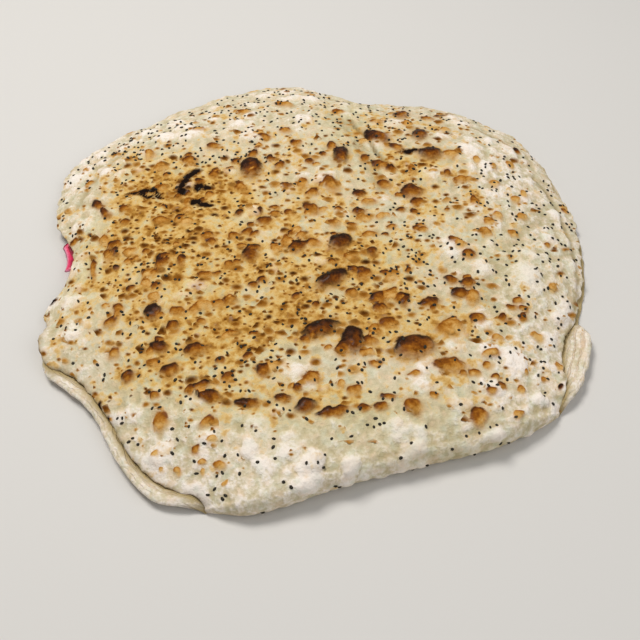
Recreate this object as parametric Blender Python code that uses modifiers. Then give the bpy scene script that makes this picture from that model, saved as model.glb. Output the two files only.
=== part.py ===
"""A thin seeded flatbread, folded once over a flat pink filling.

One long sheet of dough is laid out flat and folded over along its near side, so
that the upper half lies on the filling and the lower half under it.  The halves
meet in a round fold at the front and in open, ruffled edges everywhere else.  On
the left the upper edge lifts in a notch, where the filling shows.

The named sizes are millimetres.  +X is to the right along the fold, +Y is away
from it and +Z is up.  The bread lies on Z = 0, and its origin is the middle of its
underside.
"""

import math
import random

import bmesh
import bpy
import numpy as np
from mathutils import Matrix, Vector

MM = 0.001

# The dough
SHEET_THICKNESS = 3.0
RIM_SHARE = 0.6                 # of that thickness, at the baked edge
RIM_WIDTH = 9.0                 # over which the sheet thins towards its edge
LIP_GAP = 1.2                   # air between the two edges where they close
END_GAP = 0.5                   # the same at the fold's two ends
FOLD_RADIUS = 6.2               # outer radius of the rolled fold, and of its two ends
FOLD_END_RADIUS = 1.2
FOLD_END_SHARE = 0.2            # of the fold's length, over which it rolls open
CROWN_HEIGHT = 16.0             # how far the filling lifts the upper half
OPEN_SIDE_RISE = 76.0           # run over which the upper half climbs from an open edge
FOLD_SIDE_RISE = 66.0           # run over which it climbs from the fold
NOTCH_LIFT = 5.6                # how far the upper edge lifts over the filling's tongue
NOTCH_CENTRE = (-133.0, -8.0)
NOTCH_REACH = 20.0
RUFFLE_HEIGHT = 1.0
RUFFLE_REACH = 15.0
LIP_CURL = 3.0                  # how far the lower half's edge curls up on the left
LIP_CURL_REACH = 7.0
FLAP_CURL = 4.2                 # and on the right
FLAP_CURL_REACH = 9.0

# Plan of each half's baked edge, from the fold's left end round to its right end
UPPER_EDGE = [
    (-53.5, -149), (-61, -146.8), (-75, -139), (-87, -126), (-97, -110), (-109, -94),
    (-119, -83), (-134, -76), (-140, -63), (-139, -50), (-143, -41), (-138, -31),
    (-134, -21), (-132, -9), (-136, 6), (-146, 21), (-150, 36), (-151, 52),
    (-148, 76), (-133, 95), (-105, 118), (-72, 140), (-36, 156), (-6, 156),
    (19, 145), (45, 138), (71, 137), (99, 124), (125, 105), (138, 80),
    (143, 54), (149, 39), (149, 11), (145, -20), (137, -44), (129, -58),
    (125, -74), (124, -88),
]
LOWER_EDGE = [
    (-55, -153.2), (-63, -152.4), (-73, -150), (-84, -140), (-94, -126), (-103, -110),
    (-112, -98), (-123, -89), (-137, -76), (-137, -56), (-135, -32), (-134, -9),
    (-138, 18), (-145, 50), (-142, 74), (-128, 92), (-101, 114), (-69, 134),
    (-34, 150), (-6, 151), (17, 141), (44, 134), (72, 133), (100, 121),
    (127, 103), (141, 79), (149, 40), (151, 10), (147, -20), (141, -38),
    (139, -46), (142, -54), (141, -66), (136, -79), (129, -92),
]
UPPER_CORNERS = ((-148, 76), (138, 80))     # where the far side begins and ends
LOWER_CORNERS = ((-142, 74), (141, 79))
FOLD_LINE = [                               # the fold's outermost line
    (-49, -154), (-40, -155.5), (-28, -157), (-12, -153), (3, -147), (18, -142),
    (40, -135), (68, -128), (90, -121), (108, -111), (120, -102),
]

# Long soft folds in the upper half: path, height (a minus makes a valley), half width
CREASES = (
    (((10, 130), (18, 106), (26, 86), (31, 68), (38, 50), (46, 30)), -3.2, 6.5),
    (((1, 128), (8, 106), (14, 86), (19, 68), (26, 50)), 1.8, 8.0),
    (((132, 38), (124, 20), (114, 8), (105, -4), (97, -19), (91, -34), (86, -52)), -2.6, 7.0),
    (((140, 18), (126, -4), (113, -26), (103, -50), (88, -76)), 1.6, 10.0),
    (((72, -103), (34, -113), (-6, -117), (-44, -121), (-72, -116)), 1.5, 8.0),
    (((-112, -82), (-100, -98), (-88, -118), (-74, -134)), -1.4, 5.0),
    (((-112, 28), (-108, -6), (-113, -40)), -1.6, 9.0),
)

# Blisters that stand out: x, y, half length, half width, turn in degrees
LARGE_BLISTERS = (
    (-45, 115, 4.5, 3.5, -5), (-20, 122, 6.5, 3.0, -25), (54, 117, 5.0, 6.0, -30),
    (-30, 84, 4.5, 3.5, -45), (37, 86, 5.5, 10.0, 45), (63, 89, 5.0, 6.5, -10),
    (-98, 71, 3.0, 5.5, 10), (-73, 62, 4.5, 4.0, -35), (-60, 75, 4.5, 3.5, -35),
    (-37, 56, 6.5, 9.0, 5), (15, 67, 5.0, 8.5, 0), (38, 59, 6.0, 3.0, -35),
    (68, 69, 7.5, 6.0, 5), (80, 69, 4.0, 4.5, -15), (85, 47, 5.5, 3.0, 10),
    (-123, 32, 3.0, 6.0, 40), (-2, 22, 3.5, 6.0, 40), (9, 41, 4.0, 6.5, 25),
    (55, 37, 6.5, 5.5, -20), (-85, 14, 4.5, 3.5, -10), (-34, -14, 4.5, 5.5, 0),
    (-9, -8, 4.0, 6.0, -40), (14, -5, 5.5, 7.5, -35), (9, -32, 9.5, 5.5, 40),
    (26, -28, 4.0, 4.5, -10), (75, -40, 5.0, 3.5, 15), (81, -42, 4.0, 5.0, -15),
    (-82, -52, 4.5, 5.5, 25), (-76, -74, 5.5, 3.5, -20), (3, -65, 10.0, 5.5, 30),
    (19, -72, 5.5, 9.5, 0), (37, -61, 5.0, 3.5, 0), (59, -47, 5.0, 3.5, 20),
    (68, -63, 7.5, 6.0, 30), (-69, -88, 5.0, 4.5, 5), (-58, -77, 6.5, 4.0, -5),
    (-49, -104, 6.5, 3.0, -10), (-1, -95, 5.0, 3.5, 10), (14, -77, 3.5, 5.0, 0),
    (49, -76, 10.5, 7.5, 20), (65, -87, 8.5, 4.5, 0), (-71, -115, 4.0, 5.5, 10),
    (-31, -108, 6.5, 3.0, -5), (-4, -110, 5.0, 4.0, 20), (9, -113, 8.0, 2.5, 10),
    (46, -110, 4.5, 4.0, 0), (77, -113, 4.5, 5.0, -30),
)
BLISTER_RISE = 0.34             # height of a bubble over its mean half width
SMALL_BLISTER_COUNT = 150
SMALL_BLISTER_SIZE = (2.0, 3.8)
BROWNED_CENTRE = (-18.0, -12.0)
BROWNED_REACH = (118.0, 108.0)
BLISTER_SEED = 11

# Seeds pressed into the upper half
SEED_COUNT = 120
SEED_HALF_SIZE = (1.35, 0.95, 0.85)
SEED_SINK = 0.2                 # how deep a seed's middle lies under the crust
SEED_SPACING = 13.0
SEED_EDGE_MARGIN = 8.0
SEED_RANDOM = 5

# The filling, a thin layer between the halves
FILLING_CLEARANCE = 1.3         # to the dough above and below
FILLING_INSET = 0.07            # of the sheet's width, from its sides and its far edge
FILLING_FOLD_INSET = 0.05       # of its depth, from the fold
FILLING_EDGE_HEIGHT = 2.0
FILLING_EDGE_ROUND = 24.0
TONGUE_REACH = 6.0              # how far the filling comes out of the notch
TONGUE_HALF_WIDTH = 17.0
TONGUE_SHOULDER = 8.0
TONGUE_SHIFT = 6.0              # from the notch's middle, away from the fold

# The meshes
COLUMNS = 150
ROWS_LOWER = 60
ROWS_FOLD = 12
ROWS_UPPER = 150
FILLING_ROWS = 34
FILLING_COLUMNS = 13
CURVE_STEPS = 10                # of a smooth curve between two of its own points
SPREADING_PASSES = 1500
SMOOTHING_PASSES = 60
BREAD_TRIANGLES = 8200
LEVEL_WITHIN = 0.1              # corners this near to the ground are put level with it


def smooth_curve(points):
    """An open curve through the points, as an array of closely spaced points."""
    p = np.array(points, float)
    p = np.vstack([2 * p[0] - p[1], p, 2 * p[-1] - p[-2]])
    t = np.linspace(0, 1, CURVE_STEPS, endpoint=False)[:, None]
    pieces = []
    for a, b, c, d in zip(p, p[1:], p[2:], p[3:]):
        pieces.append(0.5 * (2 * b + (c - a) * t + (2 * a - 5 * b + 4 * c - d) * t**2
                             + (3 * b - a - 3 * c + d) * t**3))
    return np.vstack(pieces + [p[-2][None]])


def along(curve, share):
    """The points at these shares, 0 to 1, of a curve's length."""
    steps = np.linalg.norm(np.diff(curve, axis=0), axis=1)
    run = np.concatenate([[0], np.cumsum(steps)]) / steps.sum()
    return np.stack([np.interp(share, run, curve[:, k]) for k in range(2)], axis=-1)


def cut_at(curve, corners):
    """Splits a curve into three at the two points nearest to the corners."""
    first, second = (int(np.argmin(np.linalg.norm(curve - np.array(c), axis=1)))
                     for c in corners)
    return curve[:first + 1], curve[first:second + 1], curve[second:]


def distance_to(curve, plan):
    """Distance from each point of an array to a curve."""
    nearest = np.full(plan.shape[:-1], np.inf)
    for start, step in zip(curve[:-1], np.diff(curve, axis=0)):
        share = np.clip((plan - start) @ step / (step @ step), 0, 1)
        away = plan - start - share[..., None] * step
        nearest = np.minimum(nearest, np.hypot(away[..., 0], away[..., 1]))
    return nearest


def ease(t):
    """0 to 1, steep at first and level at the end."""
    return 1 - (1 - np.clip(t, 0, 1))**2.4


def soft_step(t):
    """0 to 1, level at both ends."""
    t = np.clip(t, 0, 1)
    return t * t * (3 - 2 * t)


def bump(t):
    """1 at 0, fading to nothing past about 2."""
    return np.exp(-t * t)


def waves(plan, wavelength, seed, count=7):
    """A smooth random surface of about -1 to 1, made of crossing waves."""
    draw = random.Random(seed)
    total = 0
    for _ in range(count):
        turn = draw.uniform(0, math.tau)
        pitch = math.tau / (wavelength * draw.uniform(0.75, 1.35))
        phase = draw.uniform(0, math.tau)
        heading = np.array([math.cos(turn), math.sin(turn)])
        total = total + np.sin(plan @ heading * pitch + phase)
    return total / math.sqrt(count)


def spread(grid, passes):
    """Evens out a grid of points between its edges, which stay."""
    for _ in range(passes):
        grid[1:-1, 1:-1] = (grid[:-2, 1:-1] + grid[2:, 1:-1]
                            + grid[1:-1, :-2] + grid[1:-1, 2:]) / 4
    return grid


def fold_root():
    """Where the fold's bend begins, which way it bulges and its radius, in each column."""
    u = np.linspace(0, 1, COLUMNS + 1)
    line = along(FOLD_CURVE, u)
    ahead = np.gradient(line, axis=0)
    outward = np.stack([ahead[:, 1], -ahead[:, 0]], axis=1)
    outward /= np.linalg.norm(outward, axis=1)[:, None]
    opened = soft_step(np.minimum(u, 1 - u) / FOLD_END_SHARE)
    radius = FOLD_END_RADIUS + (FOLD_RADIUS - FOLD_END_RADIUS) * opened
    return line - outward * radius[:, None], outward, radius


FOLD_CURVE = smooth_curve(FOLD_LINE)
ROOT_CURVE = fold_root()[0]
UPPER_CURVE = smooth_curve([ROOT_CURVE[0], *UPPER_EDGE, ROOT_CURVE[-1]])
LOWER_CURVE = smooth_curve([ROOT_CURVE[0], *LOWER_EDGE, ROOT_CURVE[-1]])
LIP_CURVE = LOWER_CURVE[:10 * CURVE_STEPS]      # what shows of it on the left
FLAP_CURVE = LOWER_CURVE[-4 * CURVE_STEPS:]     # and on the right
CREASE_CURVES = [(smooth_curve(path), height, reach) for path, height, reach in CREASES]


def half_plan(curve, corners, rows):
    """Plan of one half as a grid of points, row 0 on the fold, column 0 on the left."""
    left, far, right = cut_at(curve, corners)
    u = np.linspace(0, 1, COLUMNS + 1)[None, :, None]
    v = np.linspace(0, 1, rows + 1)[:, None, None]
    near, far = ROOT_CURVE[None], along(far, u[0, :, 0])[None]
    left, right = along(left, v[:, 0, 0])[:, None], along(right[::-1], v[:, 0, 0])[:, None]
    grid = ((1 - v) * near + v * far + (1 - u) * left + u * right
            - (1 - u) * (1 - v) * near[:, :1] - u * (1 - v) * near[:, -1:]
            - (1 - u) * v * far[:, :1] - u * v * far[:, -1:])
    return spread(grid, SPREADING_PASSES)


def thickness_share(edge):
    """Share of the sheet's thickness at a distance from its baked edge."""
    return RIM_SHARE + (1 - RIM_SHARE) * soft_step(edge / RIM_WIDTH)


def lower_heights(plan):
    """Height of the lower half's outside: flat, but for its edge, which curls up."""
    curl = np.maximum(LIP_CURL * bump(distance_to(LIP_CURVE, plan) / LIP_CURL_REACH),
                      FLAP_CURL * bump(distance_to(FLAP_CURVE, plan) / FLAP_CURL_REACH))
    curl *= soft_step((distance_to(FOLD_CURVE, plan) - 2) / 16)
    return np.maximum(curl - LEVEL_WITHIN, 0)


def upper_heights(plan):
    """Height of the upper half's outside, which lies on the lower half."""
    edge, fold = distance_to(UPPER_CURVE, plan), distance_to(FOLD_CURVE, plan)
    gap = END_GAP + (LIP_GAP - END_GAP) * soft_step(fold / 20)
    under = lower_heights(plan) + SHEET_THICKNESS * thickness_share(distance_to(LOWER_CURVE, plan))
    closed = under + gap + SHEET_THICKNESS * thickness_share(edge)
    rolled = bump(fold / 30) * soft_step(edge / 24)
    height = closed + (2 * FOLD_RADIUS - closed) * rolled
    height += CROWN_HEIGHT * ease(edge / OPEN_SIDE_RISE) * ease(fold / FOLD_SIDE_RISE)
    inland = soft_step(np.minimum(edge, fold) / 30)
    height += inland * (1.0 * waves(plan, 74, 3) + 0.4 * waves(plan, 31, 4))
    for curve, rise, reach in CREASE_CURVES:
        height += rise * bump(distance_to(curve, plan) / reach) * soft_step(edge / 14)
    ruffle = waves(plan, 30, 8) + 0.6
    height += RUFFLE_HEIGHT * ruffle * bump(edge / RUFFLE_REACH) * soft_step(fold / 24)
    from_notch = np.linalg.norm(plan - np.array(NOTCH_CENTRE), axis=-1)
    return height + NOTCH_LIFT * bump(from_notch / NOTCH_REACH)


def small_blisters():
    """The many small bubbles: crowded where the bread is browned, few at its rim."""
    draw = random.Random(BLISTER_SEED)
    low, high = SMALL_BLISTER_SIZE
    found = []
    while len(found) < SMALL_BLISTER_COUNT:
        x, y = draw.uniform(-148, 148), draw.uniform(-148, 150)
        off = math.hypot((x - BROWNED_CENTRE[0]) / BROWNED_REACH[0],
                         (y - BROWNED_CENTRE[1]) / BROWNED_REACH[1])
        keep = draw.random() < (1.0 if off < 0.9 else 0.25)
        half = low + (high - low) * draw.random()**2
        stretch, turn = draw.uniform(1.0, 1.5), draw.uniform(-40, 40)
        if keep:
            found.append((x, y, half * stretch, half, turn))
    return found


def blister_heights(plan, blisters):
    """How far the bubbles lift the crust."""
    height = np.zeros(plan.shape[:-1])
    for x, y, half_length, half_width, turn in blisters:
        angle = math.radians(turn)
        offset = plan - np.array([x, y])
        lengthwise = offset @ np.array([math.cos(angle), math.sin(angle)]) / half_length
        crosswise = offset @ np.array([-math.sin(angle), math.cos(angle)]) / half_width
        dome = np.clip(1 - lengthwise**2 - crosswise**2, 0, 1)**0.8
        height = np.maximum(height, BLISTER_RISE * math.sqrt(half_length * half_width) * dome)
    return height


def folded_sheet():
    """The outside of the folded sheet, as a grid of points from the lower far edge
    round the fold to the upper far edge."""
    root, outward, radius = fold_root()
    plan = half_plan(UPPER_CURVE, UPPER_CORNERS, ROWS_UPPER)
    height = spread(upper_heights(plan), SMOOTHING_PASSES)
    upper = np.dstack([plan, height])
    plan = half_plan(LOWER_CURVE, LOWER_CORNERS, ROWS_LOWER)
    lower = np.dstack([plan, lower_heights(plan)])
    angle = np.linspace(-math.pi / 2, math.pi / 2, ROWS_FOLD + 1)[1:-1, None]
    bend = root[None] + outward[None] * (radius[None] * np.cos(angle))[..., None]
    bend = np.dstack([bend, height[:1] * (1 + np.sin(angle)) / 2])
    return np.concatenate([lower[::-1], bend, upper])


def add_object(name, shape, collection):
    """A mesh object made of a bmesh, which is then freed."""
    mesh = bpy.data.meshes.new(name)
    shape.to_mesh(mesh)
    shape.free()
    obj = bpy.data.objects.new(name, mesh)
    collection.objects.link(obj)
    return obj


def grid_object(name, points, collection):
    """A sheet of square cells whose corners are moved to a grid of points."""
    rows, columns = points.shape[0] - 1, points.shape[1] - 1
    sheet = bmesh.new()
    bmesh.ops.create_grid(sheet, x_segments=columns, y_segments=rows, size=1)
    obj = add_object(name, sheet, collection)
    flat = np.empty(len(obj.data.vertices) * 3)
    obj.data.vertices.foreach_get("co", flat)
    share = (flat.reshape(-1, 3) + 1) / 2
    column = np.rint(share[:, 0] * columns).astype(int)
    row = np.rint(share[:, 1] * rows).astype(int)
    set_points(obj, points[row, column])
    return obj, row, column


def get_points(obj):
    """A mesh's vertices, in millimetres."""
    flat = np.empty(len(obj.data.vertices) * 3)
    obj.data.vertices.foreach_get("co", flat)
    return flat.reshape(-1, 3) / MM


def set_points(obj, points):
    """Moves a mesh's vertices to these points, given in millimetres."""
    obj.data.vertices.foreach_set("co", (points * MM).ravel())
    obj.data.update()


def apply_modifiers(obj):
    """Replaces an object's mesh by what its modifiers make of it."""
    made = bpy.data.meshes.new_from_object(
        obj.evaluated_get(bpy.context.evaluated_depsgraph_get()))
    obj.modifiers.clear()
    obj.data = made


def thicken(obj, thickness, shares=None):
    """Gives a sheet its thickness, inwards, less where the shares are under 1."""
    shell = obj.modifiers.new("thickness", "SOLIDIFY")
    shell.thickness = thickness * MM
    shell.offset = -1
    if shares is not None:
        group = obj.vertex_groups.new(name="thickness_share")
        for index, share in enumerate(shares):
            group.add([index], float(share), "REPLACE")
        shell.vertex_group = group.name
    apply_modifiers(obj)


def thin_out(obj, triangles):
    """Joins faces, the flattest first, until about this many triangles are left."""
    obj.data.calc_loop_triangles()
    fewer = obj.modifiers.new("fewer_faces", "DECIMATE")
    fewer.use_collapse_triangulate = True
    fewer.ratio = triangles / len(obj.data.loop_triangles)
    apply_modifiers(obj)


def make_material(name, colour, roughness):
    material = bpy.data.materials.new(name)
    material.use_nodes = True
    shader = material.node_tree.nodes["Principled BSDF"]
    shader.inputs["Base Color"].default_value = (*colour, 1)
    shader.inputs["Roughness"].default_value = roughness
    return material


def seed_spots():
    """Where seeds lie: well apart, more of them on the far left and the right."""
    draw = random.Random(SEED_RANDOM)
    spots = []
    while len(spots) < SEED_COUNT:
        spot = np.array([draw.uniform(-150, 150), draw.uniform(-150, 155)])
        crowded = max(bump((spot[0] + 95) / 70) * bump((spot[1] - 95) / 60),
                      bump((spot[0] - 105) / 55) * bump((spot[1] - 10) / 90))
        if draw.random() > 0.35 + 0.65 * crowded or not inside_edge(spot):
            continue
        if all(np.hypot(*(spot - other)) > SEED_SPACING for other in spots):
            spots.append(spot)
    return spots


def inside_edge(spot):
    """Whether a point is on the upper half, clear of its edge and of the fold."""
    outline = np.vstack([UPPER_CURVE, FOLD_CURVE[::-1]])
    ahead = np.roll(outline, -1, axis=0)
    crosses = (outline[:, 1] > spot[1]) != (ahead[:, 1] > spot[1])
    rise = np.where(crosses, ahead[:, 1] - outline[:, 1], 1)
    meets = outline[:, 0] + (spot[1] - outline[:, 1]) * (ahead[:, 0] - outline[:, 0]) / rise
    within = np.count_nonzero(crosses & (spot[0] < meets)) % 2 == 1
    return within and distance_to(outline, spot[None])[0] > SEED_EDGE_MARGIN


def add_seeds(bread):
    """Sets small seeds into the crust and makes them one body with it."""
    seeds = bpy.data.collections.new("seeds")
    bpy.context.scene.collection.children.link(seeds)
    draw = random.Random(SEED_RANDOM + 1)
    for number, spot in enumerate(seed_spots()):
        above = Vector((spot[0] * MM, spot[1] * MM, 0.1))
        hit, place, normal, _ = bread.ray_cast(above, Vector((0, 0, -1)))
        if not hit:
            continue
        turn = Matrix.Rotation(draw.uniform(0, math.tau), 4, "Z")
        size = Matrix.Diagonal((*(half * MM for half in SEED_HALF_SIZE), 1))
        upright = normal.to_track_quat("Z", "Y").to_matrix().to_4x4()
        place = Matrix.Translation(place - normal * SEED_SINK * MM) @ upright @ turn @ size
        seed = bmesh.new()
        bmesh.ops.create_uvsphere(seed, u_segments=5, v_segments=4, radius=1, matrix=place)
        add_object(f"seed_{number:03d}", seed, seeds)
    union = bread.modifiers.new("seeds", "BOOLEAN")
    union.operation = "UNION"
    union.operand_type = "COLLECTION"
    union.collection = seeds
    union.solver = "MANIFOLD"
    apply_modifiers(bread)
    for seed in list(seeds.objects):
        bpy.data.objects.remove(seed)
    bpy.data.collections.remove(seeds)


def rim_distance(outside):
    """Distance in plan from each point of the folded sheet to its own baked edge."""
    plan, height = outside[..., :2], outside[..., 2]
    lower = np.arange(len(outside))[:, None] < ROWS_LOWER
    to_edge = np.where(lower, distance_to(LOWER_CURVE, plan), distance_to(UPPER_CURVE, plan))
    to_ends = [np.linalg.norm(outside - outside[:, end:end + 1], axis=-1) for end in (0, COLUMNS)]
    bend = np.abs(np.arange(len(outside)) - ROWS_LOWER - ROWS_FOLD / 2)[:, None] <= ROWS_FOLD / 2
    return np.where(bend, np.minimum(*to_ends), to_edge)


def make_bread(outside, collection):
    """The folded sheet with its blisters, as one solid."""
    bread, row, column = grid_object("flatbread", outside, collection)
    bread.data.materials.append(make_material("baked_dough", (0.66, 0.47, 0.22), 0.8))
    rim = rim_distance(outside)[row, column]
    thicken(bread, SHEET_THICKNESS, thickness_share(rim))
    points = get_points(bread)
    crust = points[:len(row)]
    blistered = blister_heights(crust[:, :2], list(LARGE_BLISTERS) + small_blisters())
    crust[:, 2] += blistered * soft_step((rim - 2) / 6) * (row > ROWS_LOWER + ROWS_FOLD // 2)
    set_points(bread, points)
    thin_out(bread, BREAD_TRIANGLES)
    points = get_points(bread)
    points[points[:, 2] < LEVEL_WITHIN, 2] = 0
    set_points(bread, points)
    return bread


def inside_of(outside):
    """The inner face of a full sheet whose outer face is a grid of points."""
    normal = np.cross(np.gradient(outside, axis=1), np.gradient(outside, axis=0))
    return outside - SHEET_THICKNESS * normal / np.linalg.norm(normal, axis=-1)[..., None]


def make_filling(outside, collection):
    """A thin layer that follows the sheet over it, with a tongue out of the notch."""
    upper = outside[ROWS_LOWER + ROWS_FOLD:]
    v, u = np.meshgrid(np.linspace(FILLING_FOLD_INSET, 1 - FILLING_INSET, FILLING_ROWS + 1),
                       np.linspace(0, 1, FILLING_COLUMNS + 1)**1.3, indexing="ij")
    side = upper[:, 0, :2]
    notch = np.argmin(np.linalg.norm(side - np.array(NOTCH_CENTRE), axis=1))
    from_notch = np.interp(v, np.linspace(0, 1, len(side)), side[:, 1]) - side[notch, 1]
    from_notch -= TONGUE_SHIFT
    tongue = soft_step((TONGUE_HALF_WIDTH - abs(from_notch)) / TONGUE_SHOULDER)
    left = FILLING_INSET * (1 - tongue)
    u = left + (1 - FILLING_INSET - left) * u
    layer = sample(inside_of(upper), u, v)
    away = np.minimum.reduce([layer[..., 0] - layer[:, :1, 0], layer[:, -1:, 0] - layer[..., 0],
                              layer[..., 1] - layer[:1, :, 1], layer[-1:, :, 1] - layer[..., 1]])
    layer[..., 0] -= TONGUE_REACH * tongue * bump(np.arange(FILLING_COLUMNS + 1) / 1.5)
    bottom = SHEET_THICKNESS + FILLING_CLEARANCE
    under = np.minimum(layer[..., 2], upper_heights(layer[..., :2]) - SHEET_THICKNESS)
    room = under - FILLING_CLEARANCE - bottom
    rounding = 1 - (1 - np.clip(away / FILLING_EDGE_ROUND, 0, 1))**2
    edge = np.minimum(FILLING_EDGE_HEIGHT, room)
    layer[..., 2] = bottom + edge + (room - edge) * rounding
    filling, row, _ = grid_object("filling", layer, collection)
    filling.data.materials.append(make_material("pink_pickle", (0.62, 0.05, 0.14), 0.4))
    thicken(filling, FILLING_EDGE_HEIGHT)
    points = get_points(filling)
    points[len(row):, :2] = points[:len(row), :2]
    points[len(row):, 2] = bottom
    set_points(filling, points)
    return filling


def sample(grid, u, v):
    """Points of a grid at shares of its columns and rows."""
    row, column = v * (grid.shape[0] - 1), u * (grid.shape[1] - 1)
    top, left = (np.clip(np.floor(k).astype(int), 0, size - 2)
                 for k, size in ((row, grid.shape[0]), (column, grid.shape[1])))
    down, across = (row - top)[..., None], (column - left)[..., None]
    return ((1 - down) * ((1 - across) * grid[top, left] + across * grid[top, left + 1])
            + down * ((1 - across) * grid[top + 1, left] + across * grid[top + 1, left + 1]))


def main():
    for obj in list(bpy.data.objects):
        bpy.data.objects.remove(obj)
    parts = bpy.data.collections.new("flatbread")
    bpy.context.scene.collection.children.link(parts)
    outside = folded_sheet()
    bread = make_bread(outside, parts)
    add_seeds(bread)
    filling = make_filling(outside, parts)
    points = get_points(bread)
    middle = (points.min(axis=0) + points.max(axis=0)) / 2
    for obj in (bread, filling):
        set_points(obj, get_points(obj) - np.array([middle[0], middle[1], 0]))
        obj.data.shade_smooth()
        obj.data.set_sharp_from_angle(angle=math.radians(50))


main()
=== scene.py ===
"""A thin seeded flatbread, folded once over a flat pink filling.

The bread is one long sheet of dough.  Its outside is laid out as a grid of points
that runs from the lower half's far edge, round the fold at the front, to the upper
half's far edge.  Blisters, ruffles and creases move those points, and the same
sizes colour them.  Lengths are millimetres up to the point where a mesh is made.
"""

from __future__ import annotations

import logging
import math
import random
from collections.abc import Iterable, Sequence
from dataclasses import dataclass, field
from enum import Enum

import bpy
import numpy as np
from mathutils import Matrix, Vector

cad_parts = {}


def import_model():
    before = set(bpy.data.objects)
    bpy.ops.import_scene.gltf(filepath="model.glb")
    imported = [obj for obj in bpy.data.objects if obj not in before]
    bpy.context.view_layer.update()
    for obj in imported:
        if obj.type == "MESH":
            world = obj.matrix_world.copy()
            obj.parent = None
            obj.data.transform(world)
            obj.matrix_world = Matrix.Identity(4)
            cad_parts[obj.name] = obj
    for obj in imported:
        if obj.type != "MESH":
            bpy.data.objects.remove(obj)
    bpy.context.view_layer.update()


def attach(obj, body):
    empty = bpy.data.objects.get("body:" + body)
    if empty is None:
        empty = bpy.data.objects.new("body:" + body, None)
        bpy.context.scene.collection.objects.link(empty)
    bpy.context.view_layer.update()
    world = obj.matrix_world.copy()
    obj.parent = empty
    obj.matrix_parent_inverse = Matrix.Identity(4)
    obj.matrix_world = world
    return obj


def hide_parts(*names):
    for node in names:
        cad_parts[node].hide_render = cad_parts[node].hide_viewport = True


log = logging.getLogger("flatbread")

MM = 0.001

Points = np.ndarray
Colour = tuple[float, float, float]


# ---------------------------------------------------------------- plain geometry


def smooth_curve(points: Sequence[Sequence[float]], steps: int = 10) -> Points:
    """Draws an open curve through points.

    Args:
        points: The places that the curve goes through.
        steps: How many short straights join two of them.

    Returns:
        The curve's own points, in order.
    """
    p = np.array(points, float)
    p = np.vstack([2 * p[0] - p[1], p, 2 * p[-1] - p[-2]])
    t = np.linspace(0, 1, steps, endpoint=False)[:, None]
    pieces = []
    for a, b, c, d in zip(p, p[1:], p[2:], p[3:]):
        pieces.append(0.5 * (2 * b + (c - a) * t + (2 * a - 5 * b + 4 * c - d) * t**2
                             + (3 * b - a - 3 * c + d) * t**3))
    return np.vstack(pieces + [p[-2][None]])


def along(curve: Points, share: Points) -> Points:
    """Returns the points at these shares, 0 to 1, of a curve's length."""
    steps = np.linalg.norm(np.diff(curve, axis=0), axis=1)
    run = np.concatenate([[0], np.cumsum(steps)]) / steps.sum()
    return np.stack([np.interp(share, run, curve[:, k]) for k in range(2)], axis=-1)


def cut_at(curve: Points, corners: Iterable[Sequence[float]]) -> tuple[Points, Points, Points]:
    """Splits a curve into three at the two points nearest to the corners."""
    first, second = (int(np.argmin(np.linalg.norm(curve - np.array(c), axis=1)))
                     for c in corners)
    return curve[:first + 1], curve[first:second + 1], curve[second:]


def distance_to(curve: Points, plan: Points) -> Points:
    """Returns the distance from each point of an array to a curve."""
    nearest = np.full(plan.shape[:-1], np.inf)
    for start, step in zip(curve[:-1], np.diff(curve, axis=0)):
        share = np.clip((plan - start) @ step / (step @ step), 0, 1)
        away = plan - start - share[..., None] * step
        nearest = np.minimum(nearest, np.hypot(away[..., 0], away[..., 1]))
    return nearest


def ease(t: Points) -> Points:
    """Returns 0 to 1, steep at first and level at the end."""
    return 1 - (1 - np.clip(t, 0, 1))**2.4


def soft_step(t: Points) -> Points:
    """Returns 0 to 1, level at both ends."""
    t = np.clip(t, 0, 1)
    return t * t * (3 - 2 * t)


def bump(t: Points) -> Points:
    """Returns 1 at 0, fading to nothing past about 2."""
    return np.exp(-t * t)


@dataclass(frozen=True)
class Swell:
    """A smooth random surface made of crossing waves.

    Attributes:
        height: About how far it goes up and down.
        wavelength: The typical distance between two crests.
        seed: Fixes the random draw.
        count: How many waves cross.
    """

    height: float
    wavelength: float
    seed: int
    count: int = 7

    def over(self, plan: Points) -> Points:
        """Returns its height at each place of an array."""
        draw = random.Random(self.seed)
        total = 0
        for _ in range(self.count):
            turn = draw.uniform(0, math.tau)
            pitch = math.tau / (self.wavelength * draw.uniform(0.75, 1.35))
            phase = draw.uniform(0, math.tau)
            heading = np.array([math.cos(turn), math.sin(turn)])
            total = total + np.sin(plan @ heading * pitch + phase)
        return self.height * (total / math.sqrt(self.count))


def swollen(plan: Points, swells: Iterable[Swell], base: Points | float = 0.0) -> Points:
    """Adds swells to a height.

    Args:
        plan: The places to work it out for.
        swells: What to add, in order.
        base: The height that they are added to.

    Returns:
        The height at each place.
    """
    for swell in swells:
        base = base + swell.over(plan)
    return base


def spread(grid: Points, passes: int) -> Points:
    """Evens out a grid of points between its edges, which stay."""
    for _ in range(passes):
        grid[1:-1, 1:-1] = (grid[:-2, 1:-1] + grid[2:, 1:-1]
                            + grid[1:-1, :-2] + grid[1:-1, 2:]) / 4
    return grid


def graded(count: int, at_start: float, at_end: float, reach: float = 5.0) -> Points:
    """Spaces out lines from 0 to 1, closer together at the ends.

    Args:
        count: How many gaps there are between lines.
        at_start: The first gap, as a share of a middle one.
        at_end: The last gap, likewise.
        reach: Over how many gaps they widen.

    Returns:
        The places of the lines.
    """
    number = np.arange(count)
    gap = (1 - (1 - at_start) * np.exp(-number / reach)
           - (1 - at_end) * np.exp(-(count - 1 - number) / reach))
    return np.concatenate([[0], np.cumsum(gap)]) / gap.sum()


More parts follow.
